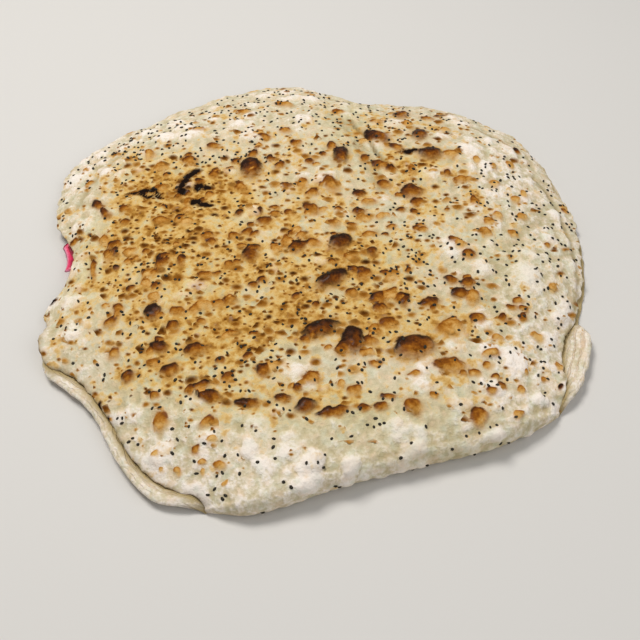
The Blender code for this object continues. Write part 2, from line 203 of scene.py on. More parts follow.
def cubic_weights(count: int, places: Points) -> Points:
    """Works out how much of each of a row of knots a smooth curve takes at some places.

    Args:
        count: The number of knots, evenly spaced from 0 to 1.
        places: Where the curve is wanted.

    Returns:
        One row of weights for each place.
    """
    t = places * (count - 1)
    first = np.clip(np.floor(t).astype(int), 0, max(count - 2, 0))
    t = t - first
    shares = np.stack([-t + 2 * t**2 - t**3, 2 - 5 * t**2 + 3 * t**3,
                       t + 4 * t**2 - 3 * t**3, t**3 - t**2]) / 2
    weights = np.zeros((len(places), count))
    for offset, share in zip(range(-1, 3), shares):
        np.add.at(weights, (np.arange(len(places)), np.clip(first + offset, 0, count - 1)), share)
    return weights


def resample(grid: Points, rows: Points, columns: Points) -> Points:
    """Reads a grid smoothly at other rows and columns, given as shares from 0 to 1."""
    down = cubic_weights(grid.shape[0], rows)
    across = cubic_weights(grid.shape[1], columns)
    return np.tensordot(down, np.tensordot(across, grid, (1, 1)), (1, 1))


def grid_normals(grid: Points) -> Points:
    """Returns the unit normals of a grid of points, on the side that faces out."""
    normal = np.cross(np.gradient(grid, axis=1), np.gradient(grid, axis=0))
    return normal / np.maximum(np.linalg.norm(normal, axis=-1), 1e-9)[..., None]


# ---------------------------------------------------------------- the folded dough


@dataclass(frozen=True)
class Crease:
    """A long soft fold or a pressed line in the upper half.

    Attributes:
        path: Where it runs, seen from above.
        rise: Its height; a valley's is under zero.
        reach: Its half width.
    """

    path: tuple[tuple[float, float], ...]
    rise: float
    reach: float

    def near(self, plan: Points) -> Points:
        """Returns 1 on it, fading to nothing beside it."""
        return bump(distance_to(smooth_curve(self.path), plan) / self.reach)


@dataclass(frozen=True)
class FoldedDough:
    """The sizes and outlines of the folded sheet, in millimetres."""

    thickness: float = 3.0
    rim_share: float = 0.6
    rim_width: float = 9.0
    lip_gap: float = 1.2
    end_gap: float = 0.5
    fold_radius: float = 6.2
    fold_end_radius: float = 1.2
    fold_end_share: float = 0.2
    crown_height: float = 16.0
    open_side_rise: float = 76.0
    fold_side_rise: float = 66.0
    notch_lift: float = 5.6
    notch_centre: tuple[float, float] = (-133.0, -8.0)
    notch_reach: float = 20.0
    gap_ease: float = 20.0
    rolled_off_fold: float = 30.0
    rolled_off_edge: float = 24.0
    swells: tuple[Swell, ...] = (Swell(1.0, 74, 3), Swell(0.4, 31, 4))
    swells_inland: float = 30.0
    crease_off_edge: float = 14.0
    ruffle_height: float = 1.0
    ruffle_reach: float = 15.0
    ruffle_bias: float = 0.6
    ruffle_off_fold: float = 24.0
    ruffles: tuple[Swell, ...] = (Swell(1.0, 30, 8),)
    lip_points: int = 100
    lip_curl: float = 3.0
    lip_curl_reach: float = 7.0
    flap_points: int = 40
    flap_curl: float = 4.2
    flap_curl_reach: float = 9.0
    curl_start: float = 1.0
    curl_ease: float = 9.0
    level_within: float = 0.1
    columns: int = 150
    rows_lower: int = 60
    rows_upper: int = 150
    spreading_passes: int = 1500
    smoothing_passes: int = 60
    upper_corners: tuple = ((-148, 76), (138, 80))
    lower_corners: tuple = ((-142, 74), (141, 79))
    upper_edge: tuple = (
        (-53.5, -149), (-61, -146.8), (-75, -139), (-87, -126), (-97, -110), (-109, -94),
        (-119, -83), (-134, -76), (-140, -63), (-139, -50), (-143, -41), (-138, -31),
        (-134, -21), (-132, -9), (-136, 6), (-146, 21), (-150, 36), (-151, 52),
        (-148, 76), (-133, 95), (-105, 118), (-72, 140), (-36, 156), (-6, 156),
        (19, 145), (45, 138), (71, 137), (99, 124), (125, 105), (138, 80),
        (143, 54), (149, 39), (149, 11), (145, -20), (137, -44), (129, -58),
        (125, -74), (124, -88),
    )
    lower_edge: tuple = (
        (-55, -153.2), (-63, -152.4), (-73, -150), (-84, -140), (-94, -126), (-103, -110),
        (-112, -98), (-123, -89), (-137, -76), (-137, -56), (-135, -32), (-134, -9),
        (-138, 18), (-145, 50), (-142, 74), (-128, 92), (-101, 114), (-69, 134),
        (-34, 150), (-6, 151), (17, 141), (44, 134), (72, 133), (100, 121),
        (127, 103), (141, 79), (149, 40), (151, 10), (147, -20), (141, -38),
        (139, -46), (142, -54), (141, -66), (136, -79), (129, -92),
    )
    fold_line: tuple = (
        (-49, -154), (-40, -155.5), (-28, -157), (-12, -153), (3, -147), (18, -142),
        (40, -135), (68, -128), (90, -121), (108, -111), (120, -102),
    )
    creases: tuple[Crease, ...] = (
        Crease(((10, 130), (18, 106), (26, 86), (31, 68), (38, 50), (46, 30)), -3.2, 6.5),
        Crease(((1, 128), (8, 106), (14, 86), (19, 68), (26, 50)), 1.8, 8.0),
        Crease(((132, 38), (124, 20), (114, 8), (105, -4), (97, -19), (91, -34), (86, -52)),
               -2.6, 7.0),
        Crease(((140, 18), (126, -4), (113, -26), (103, -50), (88, -76)), 1.6, 10.0),
        Crease(((72, -103), (34, -113), (-6, -117), (-44, -121), (-72, -116)), 1.5, 8.0),
        Crease(((-112, -82), (-100, -98), (-88, -118), (-74, -134)), -1.4, 5.0),
        Crease(((-112, 28), (-108, -6), (-113, -40)), -1.6, 9.0),
    )


class FoldedSheet:
    """The outside of the folded dough before it blisters, as coarse grids of points."""

    def __init__(self, dough: FoldedDough) -> None:
        """Works out the outlines and both halves.

        Args:
            dough: The sizes to use.
        """
        self.dough = dough
        self.fold = smooth_curve(dough.fold_line)
        self.root, self.outward, self.radius = self._fold_root()
        self.upper_edge = smooth_curve([self.root[0], *dough.upper_edge, self.root[-1]])
        self.lower_edge = smooth_curve([self.root[0], *dough.lower_edge, self.root[-1]])
        self.lip = self.lower_edge[:dough.lip_points]
        self.flap = self.lower_edge[-dough.flap_points:]
        self.upper = self._upper_half()
        self.lower = self._lower_half()

    def _fold_root(self) -> tuple[Points, Points, Points]:
        """Returns where the bend begins, which way it bulges and its radius, by column."""
        d = self.dough
        u = np.linspace(0, 1, d.columns + 1)
        line = along(self.fold, u)
        ahead = np.gradient(line, axis=0)
        outward = np.stack([ahead[:, 1], -ahead[:, 0]], axis=1)
        outward /= np.linalg.norm(outward, axis=1)[:, None]
        opened = soft_step(np.minimum(u, 1 - u) / d.fold_end_share)
        radius = d.fold_end_radius + (d.fold_radius - d.fold_end_radius) * opened
        return line - outward * radius[:, None], outward, radius

    def _half_plan(self, curve: Points, corners: Iterable, rows: int) -> Points:
        """Lays a grid of points inside one half's outline.

        Args:
            curve: The half's baked edge.
            corners: Where its far side begins and ends.
            rows: How many rows of cells lead from the fold to the far side.

        Returns:
            The grid, row 0 on the fold and column 0 on the left.
        """
        left, far, right = cut_at(curve, corners)
        u = np.linspace(0, 1, self.dough.columns + 1)[None, :, None]
        v = np.linspace(0, 1, rows + 1)[:, None, None]
        near, far = self.root[None], along(far, u[0, :, 0])[None]
        left, right = along(left, v[:, 0, 0])[:, None], along(right[::-1], v[:, 0, 0])[:, None]
        grid = ((1 - v) * near + v * far + (1 - u) * left + u * right
                - (1 - u) * (1 - v) * near[:, :1] - u * (1 - v) * near[:, -1:]
                - (1 - u) * v * far[:, :1] - u * v * far[:, -1:])
        return spread(grid, self.dough.spreading_passes)

    def thickness(self, edge: Points) -> Points:
        """Returns the dough's thickness at a distance from its baked edge."""
        d = self.dough
        return d.thickness * (d.rim_share + (1 - d.rim_share) * soft_step(edge / d.rim_width))

    def off_fold(self, plan: Points) -> Points:
        """Returns 0 at the fold, rising to 1 a little way off it."""
        d = self.dough
        return soft_step((distance_to(self.fold, plan) - d.curl_start) / d.curl_ease)

    def lower_heights(self, plan: Points) -> Points:
        """Returns the height of the lower half's outside: flat but for its curled edge."""
        d = self.dough
        curl = np.maximum(d.lip_curl * bump(distance_to(self.lip, plan) / d.lip_curl_reach),
                          d.flap_curl * bump(distance_to(self.flap, plan) / d.flap_curl_reach))
        curl *= self.off_fold(plan)
        return np.maximum(curl - d.level_within, 0)

    def upper_heights(self, plan: Points) -> Points:
        """Returns the height of the upper half's outside, which lies on the lower half."""
        d = self.dough
        edge, fold = distance_to(self.upper_edge, plan), distance_to(self.fold, plan)
        gap = d.end_gap + (d.lip_gap - d.end_gap) * soft_step(fold / d.gap_ease)
        under = self.lower_heights(plan) + self.thickness(distance_to(self.lower_edge, plan))
        closed = under + gap + self.thickness(edge)
        rolled = bump(fold / d.rolled_off_fold) * soft_step(edge / d.rolled_off_edge)
        height = closed + (2 * d.fold_radius - closed) * rolled
        height += d.crown_height * ease(edge / d.open_side_rise) * ease(fold / d.fold_side_rise)
        inland = soft_step(np.minimum(edge, fold) / d.swells_inland)
        height += inland * swollen(plan, d.swells)
        for crease in d.creases:
            height += crease.rise * crease.near(plan) * soft_step(edge / d.crease_off_edge)
        ruffle = swollen(plan, d.ruffles, d.ruffle_bias)
        height += (d.ruffle_height * ruffle * bump(edge / d.ruffle_reach)
                   * soft_step(fold / d.ruffle_off_fold))
        from_notch = np.linalg.norm(plan - np.array(d.notch_centre), axis=-1)
        return height + d.notch_lift * bump(from_notch / d.notch_reach)

    def _upper_half(self) -> Points:
        """Returns the upper half's outside, row 0 on the fold."""
        d = self.dough
        plan = self._half_plan(self.upper_edge, d.upper_corners, d.rows_upper)
        return np.dstack([plan, spread(self.upper_heights(plan), d.smoothing_passes)])

    def _lower_half(self) -> Points:
        """Returns the lower half's outside, row 0 on the fold."""
        plan = self._half_plan(self.lower_edge, self.dough.lower_corners, self.dough.rows_lower)
        return np.dstack([plan, self.lower_heights(plan)])


class Zone(Enum):
    """The stretches of the sheet, in the order of the grid's rows."""

    LOWER = 0
    BEND = 1
    UPPER = 2


@dataclass
class FineSheet:
    """The folded sheet at the fineness that is shown.

    Attributes:
        sheet: The coarse sheet that this one is read from.
        cells_across: How many cells lie along the fold.
        cells_upper: How many rows of cells the upper half has.
        cells_lower: How many rows of cells the lower half has.
        cells_bend: How many rows of cells go round the fold.
        rim_gap: The cells' size at the baked edge, as a share of a middle one.
        points: The outside, one row of points after another.
        zone: Each row's stretch of the sheet.
        rim: Each point's distance from the sheet's edge.
        laid: Where each point is on the sheet, seen from above with the bend rolled out.
    """

    sheet: FoldedSheet
    cells_across: int = 252
    cells_upper: int = 252
    cells_lower: int = 72
    cells_bend: int = 16
    rim_gap: float = 0.26
    points: Points = field(init=False)
    zone: Points = field(init=False)
    rim: Points = field(init=False)
    laid: Points = field(init=False)

    def __post_init__(self) -> None:
        """Reads the coarse grids at the fine rows and columns."""
        columns = graded(self.cells_across, self.rim_gap, self.rim_gap)
        upper_rows = graded(self.cells_upper, 1, self.rim_gap)
        lower_rows = graded(self.cells_lower, 1, self.rim_gap / 4, reach=6)
        upper = resample(self.sheet.upper, upper_rows, columns)
        lower = resample(self.sheet.lower, lower_rows, columns)
        bend = self._bend(upper[0], columns)
        self.points = np.concatenate([lower[::-1], bend, upper])
        self.zone = np.repeat([zone.value for zone in Zone], [len(lower), len(bend), len(upper)])
        self.rim = self._rim_distance(upper_rows, lower_rows, columns)
        self.laid = self._laid_out(columns)

    def _laid_out(self, columns: Points) -> Points:
        """Returns the plan of the outside with the bend rolled out in front of the crest."""
        laid = self.points[..., :2].copy()
        first = self.cells_lower + 1
        crest = self.cells_lower + self.cells_bend
        down = self.points[first:crest + 1][::-1]
        run = np.cumsum(np.linalg.norm(np.diff(down, axis=0), axis=-1), axis=0)
        outward = resample(self.sheet.outward[None], np.zeros(1), columns)[0]
        laid[first:crest] = (laid[crest] + outward * run[..., None])[::-1]
        return laid

    def _bend(self, crest: Points, columns: Points) -> Points:
        """Rolls the sheet round the fold, from the lower half up to the crest."""
        root, outward, radius = (resample(part[None], np.zeros(1), columns)[0] for part in (
            self.sheet.root, self.sheet.outward, self.sheet.radius[:, None]))
        angle = np.linspace(-math.pi / 2, math.pi / 2, self.cells_bend + 1)[1:-1, None]
        plan = root[None] + outward[None] * (radius[None, :, 0] * np.cos(angle))[..., None]
        return np.dstack([plan, crest[None, :, 2] * (1 + np.sin(angle)) / 2])

    def _rim_distance(self, upper_rows: Points, lower_rows: Points, columns: Points) -> Points:
        """Returns each point's distance from the sheet's own baked edge."""
        halves = []
        for half, edge, rows in ((self.sheet.lower, self.sheet.lower_edge, lower_rows),
                                 (self.sheet.upper, self.sheet.upper_edge, upper_rows)):
            distance = distance_to(edge, half[..., :2])
            halves.append(resample(distance[..., None], rows, columns)[..., 0])
        bend = self.points[self.zone == Zone.BEND.value]
        ends = [np.linalg.norm(bend - bend[:, end], axis=-1)
                for end in (slice(0, 1), slice(-1, None))]
        return np.clip(np.concatenate([halves[0][::-1], np.minimum(*ends), halves[1]]), 0, None)


# ---------------------------------------------------------------- blisters and browning


@dataclass(frozen=True)
class Blister:
    """A bubble in the crust.

    Attributes:
        x: Its middle, to the right.
        y: Its middle, away from the fold.
        length: Its longer half width.
        width: Its shorter half width.
        turn: How far its length is turned from the x axis, in degrees.
        bake: How dark its top is, from 0 for pale to 1 for burnt.
        rise: Its height over its mean half width.
    """

    x: float
    y: float
    length: float
    width: float
    turn: float = 0.0
    bake: float = 0.8
    rise: float = 0.34


BURNT_BLISTERS = tuple(Blister(*row) for row in (
    (77, 117, 2.0, 3.0, -10, 0.95), (81, 120, 2.0, 3.0, -10, 0.95), (37, 86, 5.5, 10.0, 45, 0.9),
    (63, 89, 5.0, 6.5, -10, 0.9), (123, 84, 2.0, 4.0, -10, 0.95), (-37, 56, 6.5, 9.0, 5, 0.92),
    (15, 67, 5.0, 8.5, 0, 0.97), (68, 69, 7.5, 6.0, 5, 0.92), (-42, 18, 2.5, 3.0, 10, 1),
    (-30, 20, 1.5, 3.0, 5, 1), (-107, -7, 2.0, 4.5, 10, 0.95), (-34, -14, 4.5, 5.5, 0, 0.84),
    (-9, -8, 4.0, 6.0, -40, 0.84), (14, -5, 5.5, 7.5, -35, 0.97), (31, -12, 3.0, 4.0, 0, 0.84),
    (-105, -19, 2.0, 2.5, 20, 1), (-90, -24, 1.5, 2.0, 10, 1), (9, -32, 9.5, 5.5, 40, 1),
    (-82, -52, 4.5, 5.5, 25, 0.97), (-76, -74, 5.5, 3.5, -20, 0.88),
    (3, -65, 10.0, 5.5, 30, 0.97), (19, -72, 5.5, 9.5, 0, 0.97), (46, -46, 3.0, 4.5, -5, 0.88),
    (-90, -88, 4.0, 3.5, 0, 0.84), (-49, -104, 6.5, 3.0, -10, 0.84),
    (120, -90, 1.5, 2.0, -15, 0.92), (-4, -110, 5.0, 4.0, 20, 0.95),
))
BROWN_BLISTERS = tuple(Blister(*row) for row in (
    (54, 117, 5.0, 6.0, -30, 0.82), (70, 112, 4.0, 3.0, 5, 0.7), (-58, 51, 3.0, 3.5, 15, 0.68),
    (-26, 64, 3.0, 3.5, 10, 0.78), (10, 75, 3.0, 4.5, 10, 0.66), (38, 59, 6.0, 3.0, -35, 0.66),
    (44, 55, 3.5, 3.5, 0, 0.72), (48, 75, 5.0, 3.0, -40, 0.7), (76, 51, 3.0, 3.5, -25, 0.66),
    (-123, 32, 3.0, 6.0, 40, 0.78), (-118, 25, 2.5, 5.5, 35, 0.78), (-2, 22, 3.5, 6.0, 40, 0.68),
    (24, 20, 4.0, 3.0, 5, 0.82), (55, 37, 6.5, 5.5, -20, 0.78), (57, 28, 3.5, 4.0, -15, 0.72),
    (-28, 12, 4.0, 3.5, -40, 0.72), (-82, -20, 2.5, 5.5, 15, 0.82), (-70, -18, 2.5, 4.0, 10, 0.8),
    (26, -28, 4.0, 4.5, -10, 0.72), (75, -40, 5.0, 3.5, 15, 0.78),
    (-71, -61, 3.5, 3.0, -10, 0.78), (33, -51, 4.0, 3.0, 25, 0.72), (59, -47, 5.0, 3.5, 20, 0.72),
    (82, -56, 4.0, 3.0, 10, 0.66), (-69, -88, 5.0, 4.5, 5, 0.72), (-58, -77, 6.5, 4.0, -5, 0.76),
    (-53, -98, 4.5, 2.5, 20, 0.76), (14, -77, 3.5, 5.0, 0, 0.66), (49, -76, 10.5, 7.5, 20, 0.8),
    (-31, -108, 6.5, 3.0, -5, 0.78), (-15, -106, 4.5, 3.0, 0, 0.74),
    (9, -113, 8.0, 2.5, 10, 0.74),
))
AMBER_BLISTERS = tuple(Blister(*row) for row in (
    (-45, 115, 4.5, 3.5, -5, 0.55), (-20, 122, 6.5, 3.0, -25, 0.5), (14, 115, 4.0, 3.0, 0, 0.5),
    (38, 105, 4.0, 3.5, -15, 0.5), (-30, 84, 4.5, 3.5, -45, 0.62), (-18, 91, 3.5, 3.0, -5, 0.55),
    (57, 102, 3.5, 3.5, 0, 0.38), (-98, 71, 3.0, 5.5, 10, 0.5), (-73, 62, 4.5, 4.0, -35, 0.62),
    (-60, 75, 4.5, 3.5, -35, 0.6), (29, 65, 2.5, 4.0, -5, 0.62), (56, 54, 2.5, 4.0, -5, 0.45),
    (80, 69, 4.0, 4.5, -15, 0.45), (85, 47, 5.5, 3.0, 10, 0.5), (-107, 26, 3.0, 4.5, 35, 0.6),
    (-42, 39, 5.0, 3.0, -25, 0.5), (-7, 42, 3.0, 4.5, 0, 0.5), (9, 41, 4.0, 6.5, 25, 0.55),
    (30, 28, 4.0, 3.0, 0, 0.48), (90, 29, 3.0, 4.5, -10, 0.5), (-115, 3, 3.0, 5.0, 15, 0.45),
    (-111, -9, 2.5, 5.5, 10, 0.55), (-99, -9, 3.5, 4.0, 35, 0.45), (-85, 14, 4.5, 3.5, -10, 0.62),
    (-20, -11, 3.5, 3.0, -5, 0.42), (-16, -4, 2.5, 5.0, 0, 0.5), (-7, 0, 3.0, 3.5, 0, 0.5),
    (78, -8, 3.5, 4.0, -30, 0.36), (-118, -18, 1.5, 9.5, 10, 0.6), (38, -43, 4.0, 3.0, 5, 0.45),
    (40, -30, 3.5, 3.5, 0, 0.45), (81, -42, 4.0, 5.0, -15, 0.42), (125, -30, 2.5, 4.0, -15, 0.36),
    (-100, -49, 3.0, 5.0, 10, 0.55), (-99, -74, 3.0, 4.0, 20, 0.55),
    (-69, -52, 4.5, 3.0, -20, 0.56), (-56, -49, 4.0, 3.5, -15, 0.38),
    (-43, -46, 4.5, 3.0, -30, 0.6), (37, -61, 5.0, 3.5, 0, 0.6), (68, -63, 7.5, 6.0, 30, 0.46),
    (-78, -83, 4.0, 2.5, -5, 0.5), (-41, -94, 3.0, 3.5, 0, 0.6), (-20, -88, 4.0, 3.5, -5, 0.36),
    (-1, -95, 5.0, 3.5, 10, 0.5), (26, -80, 4.0, 2.5, 0, 0.45), (65, -87, 8.5, 4.5, 0, 0.56),
    (86, -78, 5.0, 2.5, 30, 0.42), (-71, -115, 4.0, 5.5, 10, 0.46),
    (-49, -117, 4.0, 2.5, 40, 0.52), (46, -110, 4.5, 4.0, 0, 0.52),
    (77, -113, 4.5, 5.0, -30, 0.56), (96, -110, 3.0, 3.5, -35, 0.4),
))
SOFT_BLISTERS = tuple(Blister(*row) for row in (
    (95, -54, 2.5, 2.5, 0, 0.66), (106, -53, 2.5, 3.0, 0, 0.66), (112, -63, 3.0, 2.5, 0, 0.36),
    (87, -91, 2.5, 2.0, 0, 0.6), (90, -95, 2.5, 2.5, 0, 0.6), (84, -100, 3.0, 2.5, 0, 0.56),
    (112, -88, 2.0, 2.0, 0, 0.42), (122, -78, 2.5, 3.5, 0, 0.38), (103, -86, 2.0, 2.0, 0, 0.4),
    (77, -90, 3.0, 2.5, 0, 0.5), (84, -85, 2.5, 2.0, 0, 0.46), (105, -43, 3.5, 2.0, 0, 0.55),
    (101, -47, 3.0, 2.0, 0, 0.6), (99, -96, 2.0, 2.5, 0, 0.42), (91, -67, 3.0, 2.0, 0, 0.42),
    (-54, -129, 2.5, 2.0, 0, 0.56), (-50, -135, 2.5, 2.0, 0, 0.38), (-42, -137, 3.0, 3.0, 0, 0.4),
    (-62, -138, 2.0, 2.0, 0, 0.4), (-69, -137, 1.5, 1.5, 0, 0.3), (-72, -129, 2.0, 1.5, 0, 0.34),
    (-50, -140, 1.5, 1.5, 0, 0.3), (-39, -145, 1.5, 1.5, 0, 0.3), (-46, -126, 3.0, 2.0, 0, 0.25),
    (23, -111, 3.5, 2.0, 0, 0.7), (31, -110, 3.5, 2.5, 0, 0.66), (35, -105, 4.0, 1.5, 0, 0.66),
    (48, -93, 3.5, 2.0, 0, 0.5), (56, -104, 3.0, 2.0, 0, 0.45), (13, -98, 2.5, 3.0, 0, 0.4),
    (104, 60, 2.5, 3.5, 0, 0.4), (95, 65, 2.5, 3.0, 0, 0.4), (115, 65, 3.0, 4.0, 0, 0.38),
    (103, 45, 3.0, 3.5, 0, 0.42), (90, 30, 2.5, 4.0, 0, 0.5), (120, 40, 2.5, 4.0, 0, 0.38),
    (114, 34, 3.0, 3.5, 0, 0.4), (102, 19, 2.5, 4.0, 0, 0.4), (116, 21, 3.5, 3.0, 0, 0.42),
    (96, 13, 3.5, 3.5, 0, 0.45), (93, 4, 3.5, 4.0, 0, 0.45), (109, 6, 2.5, 3.5, 0, 0.45),
))
FLOURY_BUBBLES = tuple(Blister(*row) for row in (
    (-29, -131, 4.6, 5.5, 0, 0, 0.5), (0, -137, 6.5, 6.5, 0, 0, 0.5),
    (17, -138, 5.5, 6.0, 0, 0, 0.5), (85, -121, 5.5, 4.0, 15, 0, 0.5),
    (48, -128, 6.0, 4.5, 10, 0, 0.35), (-48, -126, 5.0, 4.5, 0, 0, 0.35),
    (98, -80, 7.0, 9.0, 20, 0, 0.25), (112, -25, 8.0, 10.0, 0, 0, 0.22),
    (68, -108, 7.0, 5.0, 0, 0, 0.3), (108, -100, 5.5, 4.5, 30, 0, 0.35),
))
# Shallow pressed lines in the relief; the crust also gets painted shade along them.
PRESSED_LINES = (
    Crease(((129, 59), (136, 47), (140, 28), (143, 6), (142, -19), (137, -38), (131, -54),
            (126, -71), (123, -86)), -0.8, 1.3),
    Crease(((2, -141), (22, -136), (45, -129), (70, -122), (92, -114), (108, -105),
            (118, -95)), -0.45, 1.3),
    Crease(((-137, 34), (-126, 60), (-112, 82)), -0.5, 1.6),
    Crease(((22, 106), (25, 97), (29, 90), (32, 83), (35, 73), (39, 65), (43, 58), (46, 51)),
           -1.4, 1.2),
    Crease(((12, 112), (19, 97), (22, 86), (26, 75), (29, 65), (33, 58), (40, 36)), -0.9, 4.5),
    Crease(((129, 31), (124, 19), (115, 9), (106, -3), (98, -17), (91, -34), (87, -49)),
           -0.5, 4.0),
    Crease(((98, 104), (111, 94), (117, 90), (122, 82)), -0.7, 1.0),
)


@dataclass(frozen=True)
class Patch:
    """A soft patch on the upper half.

    Attributes:
        x: Its middle, to the right.
        y: Its middle, away from the fold.
        width: Its half width.
        depth: Its half depth, along y.
        level: What it adds in its middle.
    """

    x: float
    y: float
    width: float
    depth: float
    level: float

    def over(self, plan: Points) -> Points:
        """Returns what it adds at each place of an array."""
        return (self.level * bump((plan[..., 0] - self.x) / self.width)
                * bump((plan[..., 1] - self.y) / self.depth))


TOASTED = tuple(Patch(*row) for row in (
    (-82, -2, 42, 50, 0.9), (-62, 40, 40, 24, 0.5), (-22, -28, 34, 26, 0.6),
    (28, -24, 26, 28, 0.7), (12, -60, 40, 22, 0.45), (-72, -84, 38, 22, 0.55),
    (-38, -62, 30, 20, 0.5), (4, -106, 44, 11, 0.4), (52, 56, 24, 22, 0.4),
    (66, 60, 30, 20, 0.3), (8, 70, 22, 26, 0.15), (-30, 78, 30, 24, 0.2),
    (14, 22, 30, 22, 0.25), (56, -70, 26, 20, 0.3), (60, 104, 34, 18, 0.3),
    (86, -52, 26, 16, 0.25), (-100, 60, 20, 20, 0.25), (84, 14, 20, 30, 0.2),
    (-10, 20, 26, 30, 0.15), (-30, -41, 14, 8, -0.5), (12, -42, 14, 7, -0.2),
    (-93, -10, 10, 10, -0.25), (-120, 28, 9, 12, -0.3), (-105, -82, 12, 9, -0.25),
    (106, 58, 14, 12, -0.2), (57, -12, 8, 10, 0.3), (68, -108, 16, 7, 0.25),
    (-27, -90, 12, 6, 0.35), (72, -90, 18, 8, 0.2), (-43, -110, 10, 6, 0.2),
    (-53, 21, 12, 10, 0.25), (66, 22, 18, 8, 0.25),
))
GREENISH = tuple(Patch(*row) for row in (
    (-46, -66, 34, 34, 0.8), (-122, -10, 14, 40, 0.7), (20, 100, 16, 40, 0.7),
    (30, -4, 20, 24, 0.5), (-10, -112, 56, 14, 0.6), (104, -16, 26, 26, 0.5),
    (78, -132, 60, 10, 0.5), (40, -112, 40, 10, 0.3),
))
FLOURED = tuple(Patch(*row) for row in (
    (112, -44, 26, 44, 0.4), (-136, 60, 20, 50, 0.35), (-62, -128, 40, 22, 0.45),
    (-112, 104, 50, 20, 0.12), (108, 50, 28, 40, 0.35), (-130, -50, 16, 36, 0.2),
    (100, -70, 24, 26, 0.2), (76, 100, 30, 20, 0.2), (128, 0, 12, 40, 0.3),
))
SEEDED = tuple(Patch(*row) for row in (
    (-100, 98, 50, 26, 0.4), (-10, 118, 55, 30, 0.5), (50, -16, 12, 22, 1.0),
    (84, -12, 14, 22, 0.7), (106, 36, 9, 12, 0.7), (-112, 78, 14, 16, 0.7),
    (-52, 68, 20, 12, 0.8), (70, -53, 9, 5, 0.9), (20, -118, 8, 5, 1.3),
    (-37, -84, 9, 9, 0.7), (60, 96, 26, 26, 0.4), (130, 20, 18, 40, 0.6),
    (122, -60, 20, 30, 0.2), (0, -60, 60, 50, 0.15), (20, -128, 110, 14, -0.08),
))
# Charred marks; the ones at (-139, -32), (-103, -101) and (-98, -109) are dark spots of painted
# shade in the gap between the halves.
CHARRED = tuple(Blister(*row, 1.0) for row in (
    (-69, 53, 3.2, 2.0, 30), (-72, 49.5, 3.8, 2.2, 35), (-75, 45, 3.4, 2.6, 20),
    (-75.5, 41, 2.0, 2.8, 0), (-75, 36.5, 3.0, 2.8, -20), (-66, 40, 2.5, 2.7, 0),
    (-61, 39.5, 2.8, 2.0, -10), (-66, 27.5, 3.2, 2.0, -10), (-62, 25.5, 3.2, 2.2, 0),
    (-58, 24.5, 2.2, 1.5, 0), (-103, 38, 4.0, 1.1, 5), (-97, 39, 3.6, 1.5, 10),
    (-92, 39, 3.2, 1.5, -20), (-88.5, 36.5, 2.0, 1.4, -50), (-98, 35.5, 3.2, 1.4, -30),
    (-94, 33.3, 3.2, 1.4, -5), (-89, 33, 2.4, 1.2, -20), (56.5, 70.5, 4.4, 2.4, 0),
    (-139, -32, 2.5, 3, 0), (-141, -66, 1.8, 4, 10), (-103, -101, 0.9, 2.0, 0),
    (-98, -109, 0.9, 1.6, 0),
))


@dataclass(frozen=True)
class BubbleCrowd:
    """A seeded crowd of like bubbles.

    Attributes:
        seed: Fixes the random draw.
        count: How many there are.
        sizes: The least and greatest half width.
        crowding: Above 1 makes small ones more common.
        bakes: The least and greatest darkness.
        rise: Their height over their half width.
        outside: How many of the bubbles that fall outside the browned patch stay.
        inside: The same inside it.
        stretch: The greatest length over width.
        turn: How far they are turned at most, in degrees.
        half_box: How far from the middle they may be, along x and y.
        patch: The browned patch's middle and its half sizes, along x and y.
        patch_edge: Where the patch ends, as a share of its half size.
        paler: How much paler a bubble is outside it.
    """

    seed: int
    count: int
    sizes: tuple[float, float]
    crowding: float
    bakes: tuple[float, float]
    rise: float
    outside: float
    inside: float = 1.0
    stretch: float = 1.5
    turn: float = 40.0
    half_box: tuple[float, float] = (150.0, 157.0)
    patch: tuple[float, float, float, float] = (-18.0, -12.0, 118.0, 108.0)
    patch_edge: float = 0.9
    paler: float = 0.12

    def bubbles(self) -> list[Blister]:
        """Draws the bubbles."""
        draw = random.Random(self.seed)
        found: list[Blister] = []
        low, high = self.sizes
        middle_x, middle_y, half_width, half_depth = self.patch
        while len(found) < self.count:
            x, y = (draw.uniform(-half, half) for half in self.half_box)
            off = math.hypot((x - middle_x) / half_width, (y - middle_y) / half_depth)
            keep = draw.random() < (self.inside if off < self.patch_edge else self.outside)
            width = low + (high - low) * draw.random()**self.crowding
            bake = draw.uniform(*self.bakes) - (self.paler if off > self.patch_edge else 0)
            length = width * draw.uniform(1.0, self.stretch)
            turn = draw.uniform(-self.turn, self.turn)
            if keep:
                found.append(Blister(x, y, length, width, turn, bake, self.rise))
        return found


BROWN_CROWD = BubbleCrowd(seed=11, count=190, sizes=(1.8, 3.6), crowding=2.0,
                          bakes=(0.4, 0.84), rise=0.34, outside=0.2)
PALE_CROWD = BubbleCrowd(seed=21, count=380, sizes=(2.4, 6.5), crowding=1.5,
                         bakes=(0, 0), rise=0.25, outside=1.0, inside=0.3)
# Blisters and flecks darken towards this side, away from the camera: their charring plus painted
# shade.
BURNT_SIDE = (-0.35, 0.94)


